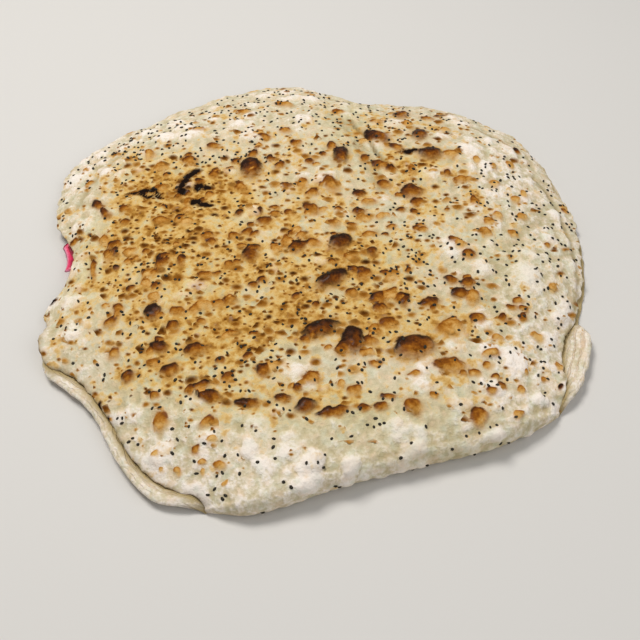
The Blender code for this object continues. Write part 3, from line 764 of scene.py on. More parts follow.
@dataclass
class CrustMap:
    """What the oven did to each point of the outside.

    Attributes:
        plan: Where the points are, seen from above.
        far_off: The dome's number where no bubble is near.
        wander: How far the bubbles' outlines wander.
        wanders: The swells that move them along x and along y.
        steepness: Under 1 gives bubbles steeper sides.
        lift: How far bubbles raise them.
        dome: How deep inside the nearest bubble they are: 1 at its top, 0 at its foot
            and under 0 outside it.
        lean: Where they are on it, from -1 at its paler near side to 1 at its far side, which is
            darker from charring and from painted shade.
        bake: How dark it is.
    """

    plan: Points
    far_off: float = -1.0
    wander: float = 0.5
    wanders: tuple[tuple[Swell, ...], ...] = (
        (Swell(1.0, 11, 51), Swell(0.6, 5, 52)),
        (Swell(1.0, 11, 53), Swell(0.6, 5, 54)),
    )
    steepness: float = 0.8
    lift: Points = field(init=False)
    dome: Points = field(init=False)
    lean: Points = field(init=False)
    bake: Points = field(init=False)

    def __post_init__(self) -> None:
        """Starts with a plain crust."""
        self.lift, self.lean, self.bake = (np.zeros(self.plan.shape[:-1]) for _ in range(3))
        self.dome = np.full(self.plan.shape[:-1], self.far_off)
        self.warped = self.plan + self.wander * np.stack(
            [swollen(self.plan, swells) for swells in self.wanders], axis=-1)

    def add(self, blisters: Iterable[Blister]) -> None:
        """Raises and browns bubbles where they are."""
        side = np.array(BURNT_SIDE)
        for b in blisters:
            reach = (1 - self.far_off) * max(b.length, b.width)
            near = ((abs(self.plan[..., 0] - b.x) < reach)
                    & (abs(self.plan[..., 1] - b.y) < reach))
            angle = math.radians(b.turn)
            ahead = np.array([math.cos(angle), math.sin(angle)])
            aside = np.array([-math.sin(angle), math.cos(angle)])
            offset = self.warped[near] - np.array([b.x, b.y])
            lengthwise, crosswise = offset @ ahead / b.length, offset @ aside / b.width
            extent = math.hypot(b.length * ahead @ side, b.width * aside @ side)
            inside = 1 - np.hypot(lengthwise, crosswise)
            round_top = np.clip(1 - lengthwise**2 - crosswise**2, 0, 1)**self.steepness
            lift = b.rise * math.sqrt(b.length * b.width) * round_top
            self.lift[near] = np.maximum(self.lift[near], lift)
            nearest = inside > self.dome[near]
            lean = offset @ side / extent
            for kept, new in ((self.dome, inside), (self.lean, lean), (self.bake, b.bake)):
                kept[near] = np.where(nearest, new, kept[near])


# ---------------------------------------------------------------- meshes


def sparse(cells: int, stride: int, extra: int = 8, end_gap: float = 0.25) -> Points:
    """Picks some of a grid's lines, closer together near its first and last.

    Args:
        cells: How many cells the grid has.
        stride: About how many of them lie between two picked lines.
        extra: How many more lines the ends take.
        end_gap: The gap at the ends, as a share of a middle one.

    Returns:
        The lines' numbers.
    """
    places = graded(cells // stride + extra, end_gap, end_gap)
    return np.unique(np.rint(places * cells).astype(int))


def closed_shell(name: str, outside: Points, inside: Points, lines: Sequence[Points]) \
        -> bpy.types.Object:
    """Joins the two faces of a sheet that meet along its edge into one closed mesh.

    Args:
        name: The object's name.
        outside: The outer face's grid of points, in millimetres.
        inside: The inner face's, of the same shape.
        lines: The rows and the columns that the inner face uses, first and last included.

    Returns:
        The new object, linked to the scene.
    """
    rows, columns = outside.shape[:2]
    number = np.arange(rows * columns).reshape(rows, columns)
    faces = np.stack([number[:-1, :-1], number[:-1, 1:], number[1:, 1:], number[1:, :-1]],
                     axis=-1).reshape(-1, 4).tolist()
    inner = number.copy()
    deep = inner_points(outside.shape[:2], lines)
    inner[deep] = rows * columns + np.arange(np.count_nonzero(deep))
    for top, bottom in zip(lines[0][:-1], lines[0][1:]):
        for left, right in zip(lines[1][:-1], lines[1][1:]):
            faces.append(_inner_face(inner, (top, bottom), (left, right)))
    vertices = np.vstack([outside.reshape(-1, 3), inside[deep]]) * MM
    mesh = bpy.data.meshes.new(name)
    mesh.from_pydata(vertices, [], faces)
    mesh.shade_smooth()
    obj = bpy.data.objects.new(name, mesh)
    bpy.context.scene.collection.objects.link(obj)
    return obj


def inner_points(shape: tuple[int, int], lines: Sequence[Points]) -> Points:
    """Marks the grid's points that the inner face has for itself."""
    deep = np.zeros(shape, bool)
    deep[np.ix_(lines[0][1:-1], lines[1][1:-1])] = True
    return deep


def _inner_face(inner: Points, rows: tuple[int, int], columns: tuple[int, int]) -> list[int]:
    """Lists one inner cell's corners, with the edge's own points where it meets the edge."""
    (top, bottom), (left, right) = rows, columns
    last_row, last_column = inner.shape[0] - 1, inner.shape[1] - 1
    high, wide = bottom - top, right - left
    return ([int(inner[r, left]) for r in range(top, bottom, high if left else 1)]
            + [int(inner[bottom, c])
               for c in range(left, right, wide if bottom < last_row else 1)]
            + [int(inner[r, right])
               for r in range(bottom, top, -(high if right < last_column else 1))]
            + [int(inner[top, c]) for c in range(right, left, -(wide if top else 1))])


def set_attribute(mesh: bpy.types.Mesh, name: str, outer: Points, inner: Points | float = 0.0) \
        -> None:
    """Stores one number at each vertex.

    Args:
        mesh: The mesh, whose outer face's points come first.
        name: What the shader calls the number.
        outer: The numbers of the outer face.
        inner: Those of the inner face's own points.
    """
    layer = mesh.attributes.new(name, "FLOAT", "POINT")
    values = np.empty(len(mesh.vertices), np.float32)
    values[:outer.size] = outer.ravel()
    values[outer.size:] = inner
    layer.data.foreach_set("value", values)


# ---------------------------------------------------------------- shader trees


class Value:
    """A number that varies over a surface; arithmetic on it adds Math nodes."""

    def __init__(self, tree: ShaderTree, socket: bpy.types.NodeSocket) -> None:
        """Wraps a socket.

        Args:
            tree: The tree that the socket is in.
            socket: The output that gives the number.
        """
        self.tree = tree
        self.socket = socket

    def _math(self, operation: str, first: Value | float, second: Value | float) -> Value:
        """Adds a Math node on two values."""
        return self.tree.node("ShaderNodeMath", {"operation": operation}, {0: first, 1: second})

    def __add__(self, other: Value | float) -> Value:
        """Adds."""
        return self._math("ADD", self, other)

    __radd__ = __add__

    def __sub__(self, other: Value | float) -> Value:
        """Takes away."""
        return self._math("SUBTRACT", self, other)

    def __rsub__(self, other: Value | float) -> Value:
        """Is taken away."""
        return self._math("SUBTRACT", other, self)

    def __mul__(self, other: Value | float) -> Value:
        """Multiplies."""
        return self._math("MULTIPLY", self, other)

    def over(self, other: Value | float) -> Value:
        """Divides by another."""
        return self._math("DIVIDE", self, other)

    def at_least(self, other: Value | float) -> Value:
        """Takes the greater of two."""
        return self._math("MAXIMUM", self, other)

    def between(self, low: float, high: float) -> Value:
        """Goes smoothly from 0 at low to 1 at high, which may be the smaller."""
        turned = low > high
        if turned:
            low, high = high, low
        stepped = self.tree.node(
            "ShaderNodeMapRange", {"interpolation_type": "SMOOTHSTEP"},
            {"Value": self, "From Min": low, "From Max": high})
        return 1 - stepped if turned else stepped


class ShaderTree:
    """A material's nodes."""

    def __init__(self, name: str) -> None:
        """Starts a material with a Principled shader.

        Args:
            name: The material's name.
        """
        self.material = bpy.data.materials.new(name)
        self.material.use_nodes = True
        self.tree = self.material.node_tree
        self.shader = self.tree.nodes["Principled BSDF"]

    def node(self, kind: str, settings: dict | None = None, sockets: dict | None = None,
             output: int | str = 0) -> Value:
        """Adds any node.

        Args:
            kind: The node's type.
            settings: Its properties, which are set before its sockets.
            sockets: A number, colour or Value for each input, by name or place.
            output: Which output is wanted.

        Returns:
            That output.
        """
        made = self.tree.nodes.new(kind)
        for name, setting in (settings or {}).items():
            setattr(made, name, setting)
        for name, given in (sockets or {}).items():
            self.feed(made.inputs[name], given)
        return Value(self, made.outputs[output])

    def feed(self, socket: bpy.types.NodeSocket, given: Value | float | Sequence[float]) -> None:
        """Links or sets an input."""
        if isinstance(given, Value):
            self.tree.links.new(given.socket, socket)
        else:
            socket.default_value = given

    def place(self) -> Value:
        """Returns the place on the object."""
        return self.node("ShaderNodeTexCoord", output="Object")

    def slanted(self, along_x: float = 0.5, along_y: float = 0.8) -> Value:
        """Returns the place seen from above, slid along with height so that walls vary too."""
        x, y, z = (self.node("ShaderNodeSeparateXYZ", None, {0: self.place()}, axis)
                   for axis in range(3))
        return self.node("ShaderNodeCombineXYZ", None, {0: x + z * along_x, 1: y + z * along_y})

    def attribute(self, name: str) -> Value:
        """Returns a number stored on the mesh."""
        return self.node("ShaderNodeAttribute", {"attribute_name": name}, output="Fac")

    def noise(self, size: float, detail: float = 2.0, shift: float = 0.0) -> Value:
        """Returns cloudy noise, 0 to 1, whose blobs are about this many millimetres wide."""
        return self.node("ShaderNodeTexNoise", {"noise_dimensions": "4D"}, {
            "Vector": self.place(), "Scale": 1 / (size * MM), "Detail": detail,
            "W": shift}, "Fac")

    def vector(self, operation: str, first: Value,
               second: Value | Sequence[float] = (0, 0, 0), output: int | str = 0) -> Value:
        """Adds a Vector Math node on one vector or two."""
        return self.node("ShaderNodeVectorMath", {"operation": operation},
                         {0: first, 1: second}, output)

    def mix(self, share: Value | float, first: Value | Colour, second: Value | Colour) -> Value:
        """Mixes two colours."""
        first, second = (c if isinstance(c, Value) else (*c, 1) for c in (first, second))
        return self.node("ShaderNodeMix", {"data_type": "RGBA"},
                         {0: share, 6: first, 7: second}, 2)

    def ramp(self, share: Value, stops: Sequence[tuple[float, Colour]]) -> Value:
        """Reads a colour off a row of stops."""
        made = self.tree.nodes.new("ShaderNodeValToRGB")
        elements = made.color_ramp.elements
        for index, (place, colour) in enumerate(stops):
            stop = elements[index] if index < 2 else elements.new(place)
            stop.position = place
            stop.color = (*colour, 1)
        self.feed(made.inputs[0], share)
        return Value(self, made.outputs[0])

    def bump(self, height: Value, depth: float) -> Value:
        """Returns the normal of a surface that a height of 1 raises by this many millimetres."""
        return self.node("ShaderNodeBump", None, {
            "Strength": 1.0, "Distance": depth * MM, "Height": height}, "Normal")

    def finish(self, **inputs: Value | float | Sequence[float]) -> bpy.types.Material:
        """Feeds the shader's inputs, named with underscores for spaces."""
        for name, given in inputs.items():
            self.feed(self.shader.inputs[name.replace("_", " ")], given)
        return self.material


def srgb(red: int, green: int, blue: int) -> Colour:
    """Turns a colour as seen on a screen, 0 to 255, into light."""
    def light(level: int) -> float:
        share = level / 255
        return share / 12.92 if share <= 0.04045 else ((share + 0.055) / 1.055)**2.4

    return light(red), light(green), light(blue)


# ---------------------------------------------------------------- finishes


@dataclass(frozen=True)
class Bubbles:
    """A shader's own crowd of bubbles, one to each cell of a pattern.

    Attributes:
        cell: The typical distance between two middles, in millimetres.
        sizes: The least and greatest half width, in cells.
        rise: Their height over their half width.
        shift: Moves the pattern, so that two crowds differ.
        everywhere: The share of cells that have a bubble on pale dough.
        on_toast: How much that share grows where the dough is browned.
        on_patches: How much it varies from patch to patch.
        squash: Their width over their length.
        ragged: How far their outline wanders, in cells.
        ragged_size: How long those wanders are, in cells.
    """

    cell: float
    sizes: tuple[float, float]
    rise: float
    shift: float
    everywhere: float
    on_toast: float
    on_patches: float
    squash: float = 0.78
    ragged: float = 0.35
    ragged_size: float = 0.9

    def build(self, tree: ShaderTree, crust: CrustFields) -> BubbleLayer:
        """Lays the crowd on the surface.

        Args:
            tree: The tree to add to.
            crust: What the crust is like.

        Returns:
            What the crowd is like at each point.
        """
        chance = crust.toast * self.on_toast + crust.patches * self.on_patches + self.everywhere
        wander = tree.node("ShaderNodeTexNoise", {"noise_dimensions": "3D"}, {
            "Vector": tree.place(), "Scale": 1 / (self.cell * self.ragged_size * MM),
            "Detail": 2.0}, "Color")
        wander = tree.vector("SUBTRACT", wander, (0.5, 0.5, 0.5))
        wander = tree.node("ShaderNodeVectorMath", {"operation": "SCALE"}, {
            0: wander, "Scale": self.ragged * self.cell * MM})
        place = tree.vector("ADD", tree.slanted(), wander)
        place = tree.vector("ADD", place, (self.shift, self.shift * 0.7, 0.0))
        cells = tree.node("ShaderNodeTexVoronoi", {"voronoi_dimensions": "2D"}, {
            "Vector": place, "Scale": 1 / (self.cell * MM)}, "Color")
        middle = Value(tree, cells.socket.node.outputs["Position"])
        offset = tree.vector("MULTIPLY", tree.vector("SUBTRACT", place, middle),
                             (self.squash / (self.cell * MM), 1 / (self.cell * MM), 0.0))
        apart = tree.vector("DOT_PRODUCT", offset, (*BURNT_SIDE, 0.0), "Value")
        luck, growth, darkness = (
            tree.node("ShaderNodeSeparateColor", None, {0: cells}, channel)
            for channel in range(3))
        low, high = self.sizes
        size = growth * growth * (high - low) + low
        dome = 1 - tree.vector("LENGTH", offset, output="Value").over(size)
        there = (chance - luck).between(0.0, 0.04)
        height = dome.at_least(0.0)
        height = (2 - height) * height * size * there * (self.rise * self.cell)
        return BubbleLayer(dome, apart.over(size), darkness, there, height)


@dataclass(frozen=True)
class BubbleLayer:
    """What a shader's crowd of bubbles is like at each point.

    Attributes:
        dome: 1 at a bubble's top, 0 at its foot, under 0 outside.
        lean: From -1 at its paler near side to 1 at its far side, darker from charring and painted
            shade.
        darkness: A random number for each bubble.
        there: Whether the cell has one.
        height: How high the crust is raised, in millimetres.
    """

    dome: Value
    lean: Value
    darkness: Value
    there: Value
    height: Value


class CrustFields:
    """The numbers over the crust that its colour and its relief are made of."""

    def __init__(self, tree: ShaderTree) -> None:
        """Reads what the mesh stores, and lays noises over it from coarse to fine.

        Args:
            tree: The tree to add to.
        """
        self.toast, self.olive, self.white, self.relief, self.crevice = (
            tree.attribute(name) for name in ("toast", "olive", "white", "relief", "crevice"))
        self.dome, self.lean, self.bake = (
            tree.attribute(name) for name in ("dome", "lean", "bake"))
        self.char, self.groove = (tree.attribute(name) for name in ("char", "groove"))
        lip = tree.attribute("lip")
        self.broad, self.patches, self.streaks, self.grain, self.fine = (
            tree.noise(size, detail, shift) - 0.5 for size, detail, shift in (
                (24, 2, 0.0), (6.5, 3, 3.0), (3.0, 3, 5.0), (1.4, 3, 7.0), (0.5, 2, 11.0)))
        self.cast = tree.noise(4.2, 3, 13.0) - 0.5
        across = lip * 2.1 + self.broad * 9 + self.patches * 7
        wave = tree.node("ShaderNodeMath", {"operation": "SINE"}, {0: across})
        self.wrinkles = ((wave + self.streaks * 3).between(0.2, 1.1)
                         * lip.between(16.0, 7.0) * lip.between(0.6, 2.2))

    def plus(self, start: Value, **shares: float) -> Value:
        """Adds shares of the numbers with these names to another number."""
        for name, share in shares.items():
            start = start + getattr(self, name) * share
        return start


@dataclass(frozen=True)
class BakedDough:
    """Pale dough, toasted in patches, with dark blisters and a dusting of flour, and with painted
    shade and painted highlights on its relief.
    """

    pale: Colour = srgb(220, 205, 175)
    warm: Colour = srgb(224, 199, 142)
    olive: Colour = srgb(206, 192, 134)
    # Flour-dusted dough, also used as a painted highlight on raised lumps.
    floury: Colour = srgb(246, 234, 221)
    # Painted shade for the dips of the relief.
    hollow: Colour = srgb(181, 166, 125)
    peach: Colour = srgb(232, 198, 164)
    mint: Colour = srgb(208, 214, 190)
    toasts: tuple[tuple[float, float, Colour], ...] = (
        (0.18, 0.72, srgb(216, 177, 104)),
        (0.56, 1.08, srgb(190, 140, 62)),
        (0.95, 1.35, srgb(148, 98, 28)),
        (1.30, 1.70, srgb(100, 54, 6)),
    )
    ochre: Colour = srgb(186, 134, 60)
    # Painted shade in the gap between the two halves.
    groove: Colour = srgb(176, 154, 108)
    # Painted shade along pressed lines and beside the lower half's lip.
    crease: Colour = srgb(122, 96, 52)
    wrinkle: Colour = srgb(204, 172, 134)
    singed: Colour = srgb(84, 44, 10)
    # Charred black, also used for the dark spots of painted shade in the gap between the halves.
    burnt: Colour = srgb(26, 14, 8)
    roughness: float = 0.72
    shine: float = 0.05
    burnt_smoothness: float = 0.3
    burnt_coat: float = 0.13
    coat_roughness: float = 0.28
    flecks: tuple[tuple[float, Colour], ...] = (
        (0.0, srgb(198, 152, 88)),
        (0.25, srgb(174, 120, 48)),
        (0.5, srgb(140, 86, 20)),
        (0.75, srgb(100, 56, 6)),
        (1.0, srgb(60, 30, 2)),
    )
    browning: tuple[tuple[float, Colour], ...] = (
        (0.0, srgb(216, 172, 104)),
        (0.2, srgb(196, 142, 68)),
        (0.38, srgb(168, 108, 34)),
        (0.54, srgb(136, 78, 18)),
        (0.7, srgb(104, 54, 10)),
        (0.85, srgb(72, 36, 8)),
        (1.0, srgb(40, 20, 8)),
    )
    crowds: tuple[Bubbles, ...] = (
        Bubbles(cell=3.3, sizes=(0.14, 0.42), rise=0.22, shift=0.4,
                everywhere=0.02, on_toast=0.5, on_patches=1.0),
        Bubbles(cell=6.0, sizes=(0.14, 0.42), rise=0.26, shift=0.9,
                everywhere=0.05, on_toast=0.75, on_patches=0.6),
    )

    def material(self) -> bpy.types.Material:
        """Makes the material."""
        tree = ShaderTree("baked_dough")
        crust = CrustFields(tree)
        colour = self._dough(tree, crust)
        colour, height = self._flecked(tree, crust, colour)
        colour, depth = self._blistered(tree, crust, colour)
        return tree.finish(
            Base_Color=colour,
            Roughness=self.roughness - depth * self.burnt_smoothness,
            Specular_IOR_Level=self.shine,
            Coat_Weight=depth * self.burnt_coat,
            Coat_Roughness=self.coat_roughness,
            Normal=tree.bump(height, 1.0))

    def _dough(self, tree: ShaderTree, crust: CrustFields) -> Value:
        """Colours the dough between its blisters, from pale and flour-dusted to brown, with
        painted shade in its dips, along pressed lines and in the gap between the halves, and
        painted highlights on its raised lumps.
        """
        warmth = crust.plus(crust.toast, broad=0.5, streaks=0.6)
        # Raised lumps are whiter, partly as pale unbrowned dough and partly as painted highlight.
        whiteness = crust.plus(crust.white, broad=0.6, relief=0.55, patches=1.1, streaks=2.2,
                               grain=2.0)
        raised = crust.plus(crust.relief, patches=2.2, streaks=2.0, grain=1.2)
        browned = crust.plus(crust.toast * 0.98, broad=0.9, patches=3.0, streaks=1.9,
                             grain=0.5) - 0.04
        colour = tree.mix(warmth.between(0.15, 0.75), self.pale, self.warm)
        colour = tree.mix(whiteness.between(0.3, 1.4), colour, self.floury)
        colour = tree.mix(crust.olive * 0.75, colour, self.olive)
        # Painted shade: the dips of the relief are darkened.
        colour = tree.mix(raised.between(0.5, -1.1) * 0.85, colour, self.hollow)
        colour = tree.mix(crust.cast.between(0.0, 0.2) * 0.36, colour, self.peach)
        colour = tree.mix(crust.cast.between(0.0, -0.2) * 0.36, colour, self.mint)
        for low, high, brown in self.toasts:
            colour = tree.mix(browned.between(low, high) * 0.85, colour, brown)
        # Painted highlight: the raised lumps are whitened.
        colour = tree.mix(raised.between(0.5, 2.2) * 0.42, colour, self.floury)
        # Painted shade along pressed lines and beside the lower half's lip.
        colour = tree.mix(crust.crevice + crust.crevice * crust.streaks * 2.0, colour, self.crease)
        colour = tree.mix(crust.wrinkles * 0.5, colour, self.wrinkle)
        # Painted shade in the gap between the two halves.
        return tree.mix(crust.groove.between(0.1, 0.9), colour, self.groove)

    def _flecked(self, tree: ShaderTree, crust: CrustFields, colour: Value) \
            -> tuple[Value, Value]:
        """Strews small brown bubbles over the dough.

        Args:
            tree: The tree to add to.
            crust: What the crust is like.
            colour: The dough's colour.

        Returns:
            The colour with the bubbles, and the crust's fine relief in millimetres.
        """
        height = crust.plus(crust.grain * 0.42, patches=1.2, streaks=0.9, fine=0.12,
                            wrinkles=-0.5)
        for crowd in self.crowds:
            layer = crowd.build(tree, crust)
            edge = layer.dome + crust.grain * 0.35
            # The flecks' far side is darkened: painted shade.
            tone = (layer.darkness * 0.6 + crust.toast * 0.35 + edge * 0.3 + layer.lean * 0.22
                    + crust.fine * 0.15 - 0.12)
            colour = tree.mix(edge.between(-0.9, 0.55) * layer.there, colour,
                              tree.ramp(tone, self.flecks))
            height = height + layer.height
        return colour, height

    def _blistered(self, tree: ShaderTree, crust: CrustFields, colour: Value) \
            -> tuple[Value, Value]:
        """Browns the blisters that stand out, with painted shade on their far sides, and blackens
        the charred marks and the dark spots of painted shade in the gap between the halves.

        Returns:
            The crust's colour, and how much it shines, 0 to 1.
        """
        edge = crust.plus(crust.dome, grain=0.3, streaks=0.3)
        halo = edge.between(-0.7, 0.05) * crust.bake.between(0.15, 0.6)
        colour = tree.mix(halo * (crust.toast * 0.45 + 0.3), colour, self.ochre)
        ring = edge.between(0.6, 0.05)
        far = crust.lean.between(-0.5, 0.4)
        contrast = crust.bake.between(0.25, 0.7) * 0.6 + 0.4
        # The far side of each blister is darkened: charring plus painted shade.
        crest = (crust.lean.between(-0.8, 0.7) * 0.46 + ring * far * 0.08) * contrast
        shade = crust.plus(crust.bake * 0.95 - 0.36 + crest + ring * 0.08,
                           streaks=0.8, patches=0.4, grain=0.4)
        sharp, soft = edge.between(-0.12, 0.16), edge.between(-0.3, 0.5)
        inside = (sharp * far + soft * (1 - far)) * crust.bake.between(0.02, 0.15)
        colour = tree.mix(inside, colour, tree.ramp(shade, self.browning))
        # Charred marks, and dark spots of painted shade in the gap between the halves.
        burnt = crust.plus(crust.char, grain=1.0, streaks=0.5)
        colour = tree.mix(burnt.between(-0.7, 0.0) * 0.7, colour, self.singed)
        colour = tree.mix(burnt.between(-0.1, 0.25), colour, self.burnt)
        return colour, shade.between(0.5, 0.9) * inside


@dataclass(frozen=True)
class BlackSeed:
    """Small dull black seeds."""

    colour: Colour = srgb(42, 38, 30)
    worn: Colour = srgb(74, 66, 50)
    speckle_size: float = 0.8
    roughness: float = 0.68
    shine: float = 0.25
    relief: float = 0.12

    def material(self) -> bpy.types.Material:
        """Makes the material."""
        tree = ShaderTree("black_seed")
        speckle = tree.noise(self.speckle_size)
        return tree.finish(
            Base_Color=tree.mix(speckle.between(0.45, 0.75), self.colour, self.worn),
            Roughness=self.roughness + speckle * 0.2,
            Specular_IOR_Level=self.shine,
            Normal=tree.bump(speckle, self.relief))


@dataclass(frozen=True)
class PinkPickle:
    """Moist pickled slices, pale pink outside and crimson within, turning deep crimson further in
    as painted shade where they go in under the bread.
    """

    outer: Colour = srgb(240, 140, 168)
    flesh: Colour = srgb(224, 44, 92)
    # Painted shade where the layer goes in under the bread.
    deep: Colour = srgb(140, 6, 40)
    fibre_size: float = 2.2
    roughness: float = 0.32
    relief: float = 0.25

    def material(self) -> bpy.types.Material:
        """Makes the material."""
        tree = ShaderTree("pink_pickle")
        fibres = tree.noise(self.fibre_size, 3)
        depth = tree.attribute("rind") + (fibres - 0.5) * 0.5
        # Deep crimson further from the tongue's tip: painted shade under the bread's edge.
        colour = tree.mix(depth.between(0.1, 0.55), self.deep, self.flesh)
        colour = tree.mix(depth.between(0.55, 0.95), colour, self.outer)
        return tree.finish(Base_Color=colour, Roughness=self.roughness + fibres * 0.15,
                           Normal=tree.bump(fibres, self.relief))


@dataclass(frozen=True)
class PlainFloor:
    """A pale matte floor."""

    colour: Colour = srgb(214, 210, 204)
    cloudy: Colour = srgb(190, 186, 180)
    cloud_size: float = 260.0
    cloud_share: float = 0.08
    roughness: float = 0.85

    def material(self) -> bpy.types.Material:
        """Makes the material."""
        tree = ShaderTree("plain_floor")
        share = tree.noise(self.cloud_size) * self.cloud_share
        return tree.finish(Base_Color=tree.mix(share, self.colour, self.cloudy),
                           Roughness=self.roughness)


# ---------------------------------------------------------------- the pieces


@dataclass
class Bread:
    """The folded, blistered sheet of dough."""

    fine: FineSheet
    rounding: float = 1.3
    roll_rounding: float = 0.5
    least_wall: float = 0.4
    bare_rim: float = 1.5
    rim_ease: float = 6.0
    floor_ease: float = 5.0
    ragged: float = 0.45
    ragged_reach: float = 4.0
    wobbles: tuple[tuple[Swell, ...], ...] = (
        (Swell(1.0, 8, 61, 12), Swell(0.6, 3.6, 62, 12)),
        (Swell(1.0, 8, 63, 12), Swell(0.6, 3.6, 64, 12)),
    )
    front: float = -120.0
    front_ease: float = 40.0
    front_calm: float = 0.6
    roll: float = 2.3
    roll_top: float = 1.2
    roll_reach: float = 4.2
    pleat: float = 0.5
    pleat_width: float = 3.4
    pleat_start: float = 3.0
    pleat_reach: float = 13.0
    pleat_drift: Swell = Swell(2.2, 22, 71)
    cushion: float = 0.8
    cushion_top: float = 1.0
    cushion_reach: float = 3.5
    cushion_off_rim: float = 4.0
    groove_width: float = 3.4
    crowd_off_fold: float = 34.0
    unevenness: tuple[Swell, ...] = (Swell(0.28, 9, 31, 12), Swell(0.13, 4.5, 32, 12))
    rim_glow: float = 12.0
    no_lip: float = 99.0
    clumps: tuple[Swell, ...] = (Swell(0.8, 14, 41, 12), Swell(0.4, 6, 42, 12))
    seed_off_rim: float = 1.5
    seed_height: float = 3.0
    seed_ease: float = 3.0
    plan: Points = field(init=False)
    lower: Points = field(init=False)
    upper: Points = field(init=False)
    from_lip: Points = field(init=False)
    crust: CrustMap = field(init=False)

    def __post_init__(self) -> None:
        """Works out what several steps need."""
        sheet = self.fine.sheet
        self.plan = self.fine.points[..., :2]
        self.lower = (self.fine.zone == Zone.LOWER.value)[:, None]
        self.upper = ~self.lower
        self.from_lip = np.minimum(distance_to(sheet.lip, self.plan),
                                   distance_to(sheet.flap, self.plan))
        self.crust = self._bake()

    def build(self) -> bpy.types.Object:
        """Makes the bread's mesh with what its finish and its seeds read from it."""
        base, rim = self._ragged_edge(), self.fine.rim
        lumps = self._lumps()
        fade = (soft_step((rim - self.bare_rim) / self.rim_ease)
                * soft_step(base[..., 2] / self.floor_ease) * self.upper)
        outside = base + grid_normals(base) * ((self.crust.lift + lumps) * fade)[..., None]
        roll = self._roll()
        thickness = self.fine.sheet.thickness(rim) + roll
        rounding = self.rounding + self.roll_rounding * np.clip(roll, 0, None)
        tucked = thickness / 2 * (1 - np.sqrt(1 - (1 - np.clip(rim / rounding, 0, 1))**2))
        shell = outside - grid_normals(outside) * tucked[..., None]
        shell[..., 2] = np.maximum(shell[..., 2], 0)
        lining = base - grid_normals(base) * (thickness - tucked)[..., None]
        lining[..., 2] = np.maximum(lining[..., 2], shell[..., 2].min() + self.least_wall)
        lines = self._lines()
        bread = closed_shell("bread", shell, lining, lines)
        self._record(bread.data, lumps, inner_points(rim.shape, lines))
        bread.data.materials.append(BakedDough().material())
        return bread

    def _lines(self) -> tuple[Points, Points]:
        """Returns the rows and columns that the inside of the sheet uses."""
        fine = self.fine
        start = fine.cells_lower + fine.cells_bend
        lower = np.unique(np.concatenate([sparse(fine.cells_lower, 2)[:-3],
                                          np.arange(fine.cells_lower - 6, start, 3)]))
        upper = start + sparse(fine.cells_upper, 4)
        columns = np.concatenate([sparse(fine.cells_across, 4),
                                  np.arange(fine.cells_across - 34, fine.cells_across)])
        return np.unique(np.concatenate([lower, upper])), np.unique(columns)

    def _ragged_edge(self) -> Points:
        """Returns the outside with small bumps along its baked edge."""
        points = self.fine.points.copy()
        plan = points[..., :2]
        behind = np.clip(plan[..., 1] - self.front, 0, None)
        near_edge = bump(self.fine.rim / self.ragged_reach) * (
            1 - self.front_calm * bump(behind / self.front_ease))
        for axis, swells in enumerate(self.wobbles):
            points[..., axis] += self.ragged * swollen(plan, swells) * near_edge
        return points

    def _roll(self) -> Points:
        """Returns how much thicker the lower half's edge is where it shows, with its pleats."""
        lip, sheet = self.from_lip, self.fine.sheet
        pleats = np.cos(math.tau * lip / self.pleat_width + self.pleat_drift.over(self.plan))
        pleats = (self.pleat * pleats * soft_step(lip / self.pleat_start)
                  * bump(lip / self.pleat_reach))
        off_upper = distance_to(sheet.upper_edge, self.plan) - self.cushion_top
        under = self.cushion * bump(off_upper / self.cushion_reach)
        under *= soft_step(self.fine.rim / self.cushion_off_rim)
        rolled = self.roll * bump((lip - self.roll_top) / self.roll_reach)
        return (rolled + pleats + under) * self.lower * sheet.off_fold(self.plan)

    def _bake(self) -> CrustMap:
        """Raises and browns every bubble of the outside."""
        crust, fold = CrustMap(self.fine.laid), self.fine.sheet.fold
        crust.add(b for b in BROWN_CROWD.bubbles()
                  if b.y > np.interp(b.x, fold[:, 0], fold[:, 1]) + self.crowd_off_fold)
        for blisters in (SOFT_BLISTERS, AMBER_BLISTERS, BROWN_BLISTERS, BURNT_BLISTERS):
            crust.add(blisters)
        return crust

    def _lumps(self) -> Points:
        """Returns the height of pale bubbles and of the dough's own unevenness."""
        plan = self.fine.laid
        pale = CrustMap(plan)
        pale.add(PALE_CROWD.bubbles())
        pale.add(FLOURY_BUBBLES)
        relief = swollen(plan, self.unevenness, pale.lift)
        for line in PRESSED_LINES:
            relief += line.rise * line.near(plan)
        return relief

    def _record(self, mesh: bpy.types.Mesh, lumps: Points, deep: Points) -> None:
        """Stores at each vertex what the oven and the baker did there.

        Args:
            mesh: The bread.
            lumps: How high its pale bubbles are.
            deep: Which points the inner face has for itself.
        """
        self._record_dough(mesh, lumps)
        self._record_edges(mesh, deep)
        self._record_blisters(mesh, deep)
        set_attribute(mesh, "groove", np.zeros(deep.shape), self._groove()[deep])
        set_attribute(mesh, "seeded", self._seeding())

    def _record_dough(self, mesh: bpy.types.Mesh, lumps: Points) -> None:
        """Stores how browned, floured and raised the dough is between its blisters."""
        toast, at_rim = self._toast(), bump(self.fine.rim / self.rim_glow)
        off_fold = soft_step(distance_to(self.fine.sheet.fold, self.plan) / 14)
        toast_below = (0.55 - 0.5 * at_rim) * off_fold - 0.2
        flour_below = 0.4 + 0.45 * at_rim
        set_attribute(mesh, "toast", np.where(self.upper, toast, toast_below), -0.1)
        set_attribute(mesh, "olive", self._olive() * self.upper)
        set_attribute(mesh, "white",
                      np.where(self.upper, self._flour() - 0.9 * toast, flour_below), 0.6)
        set_attribute(mesh, "relief", np.where(self.upper, lumps, 0.3), 0.4)

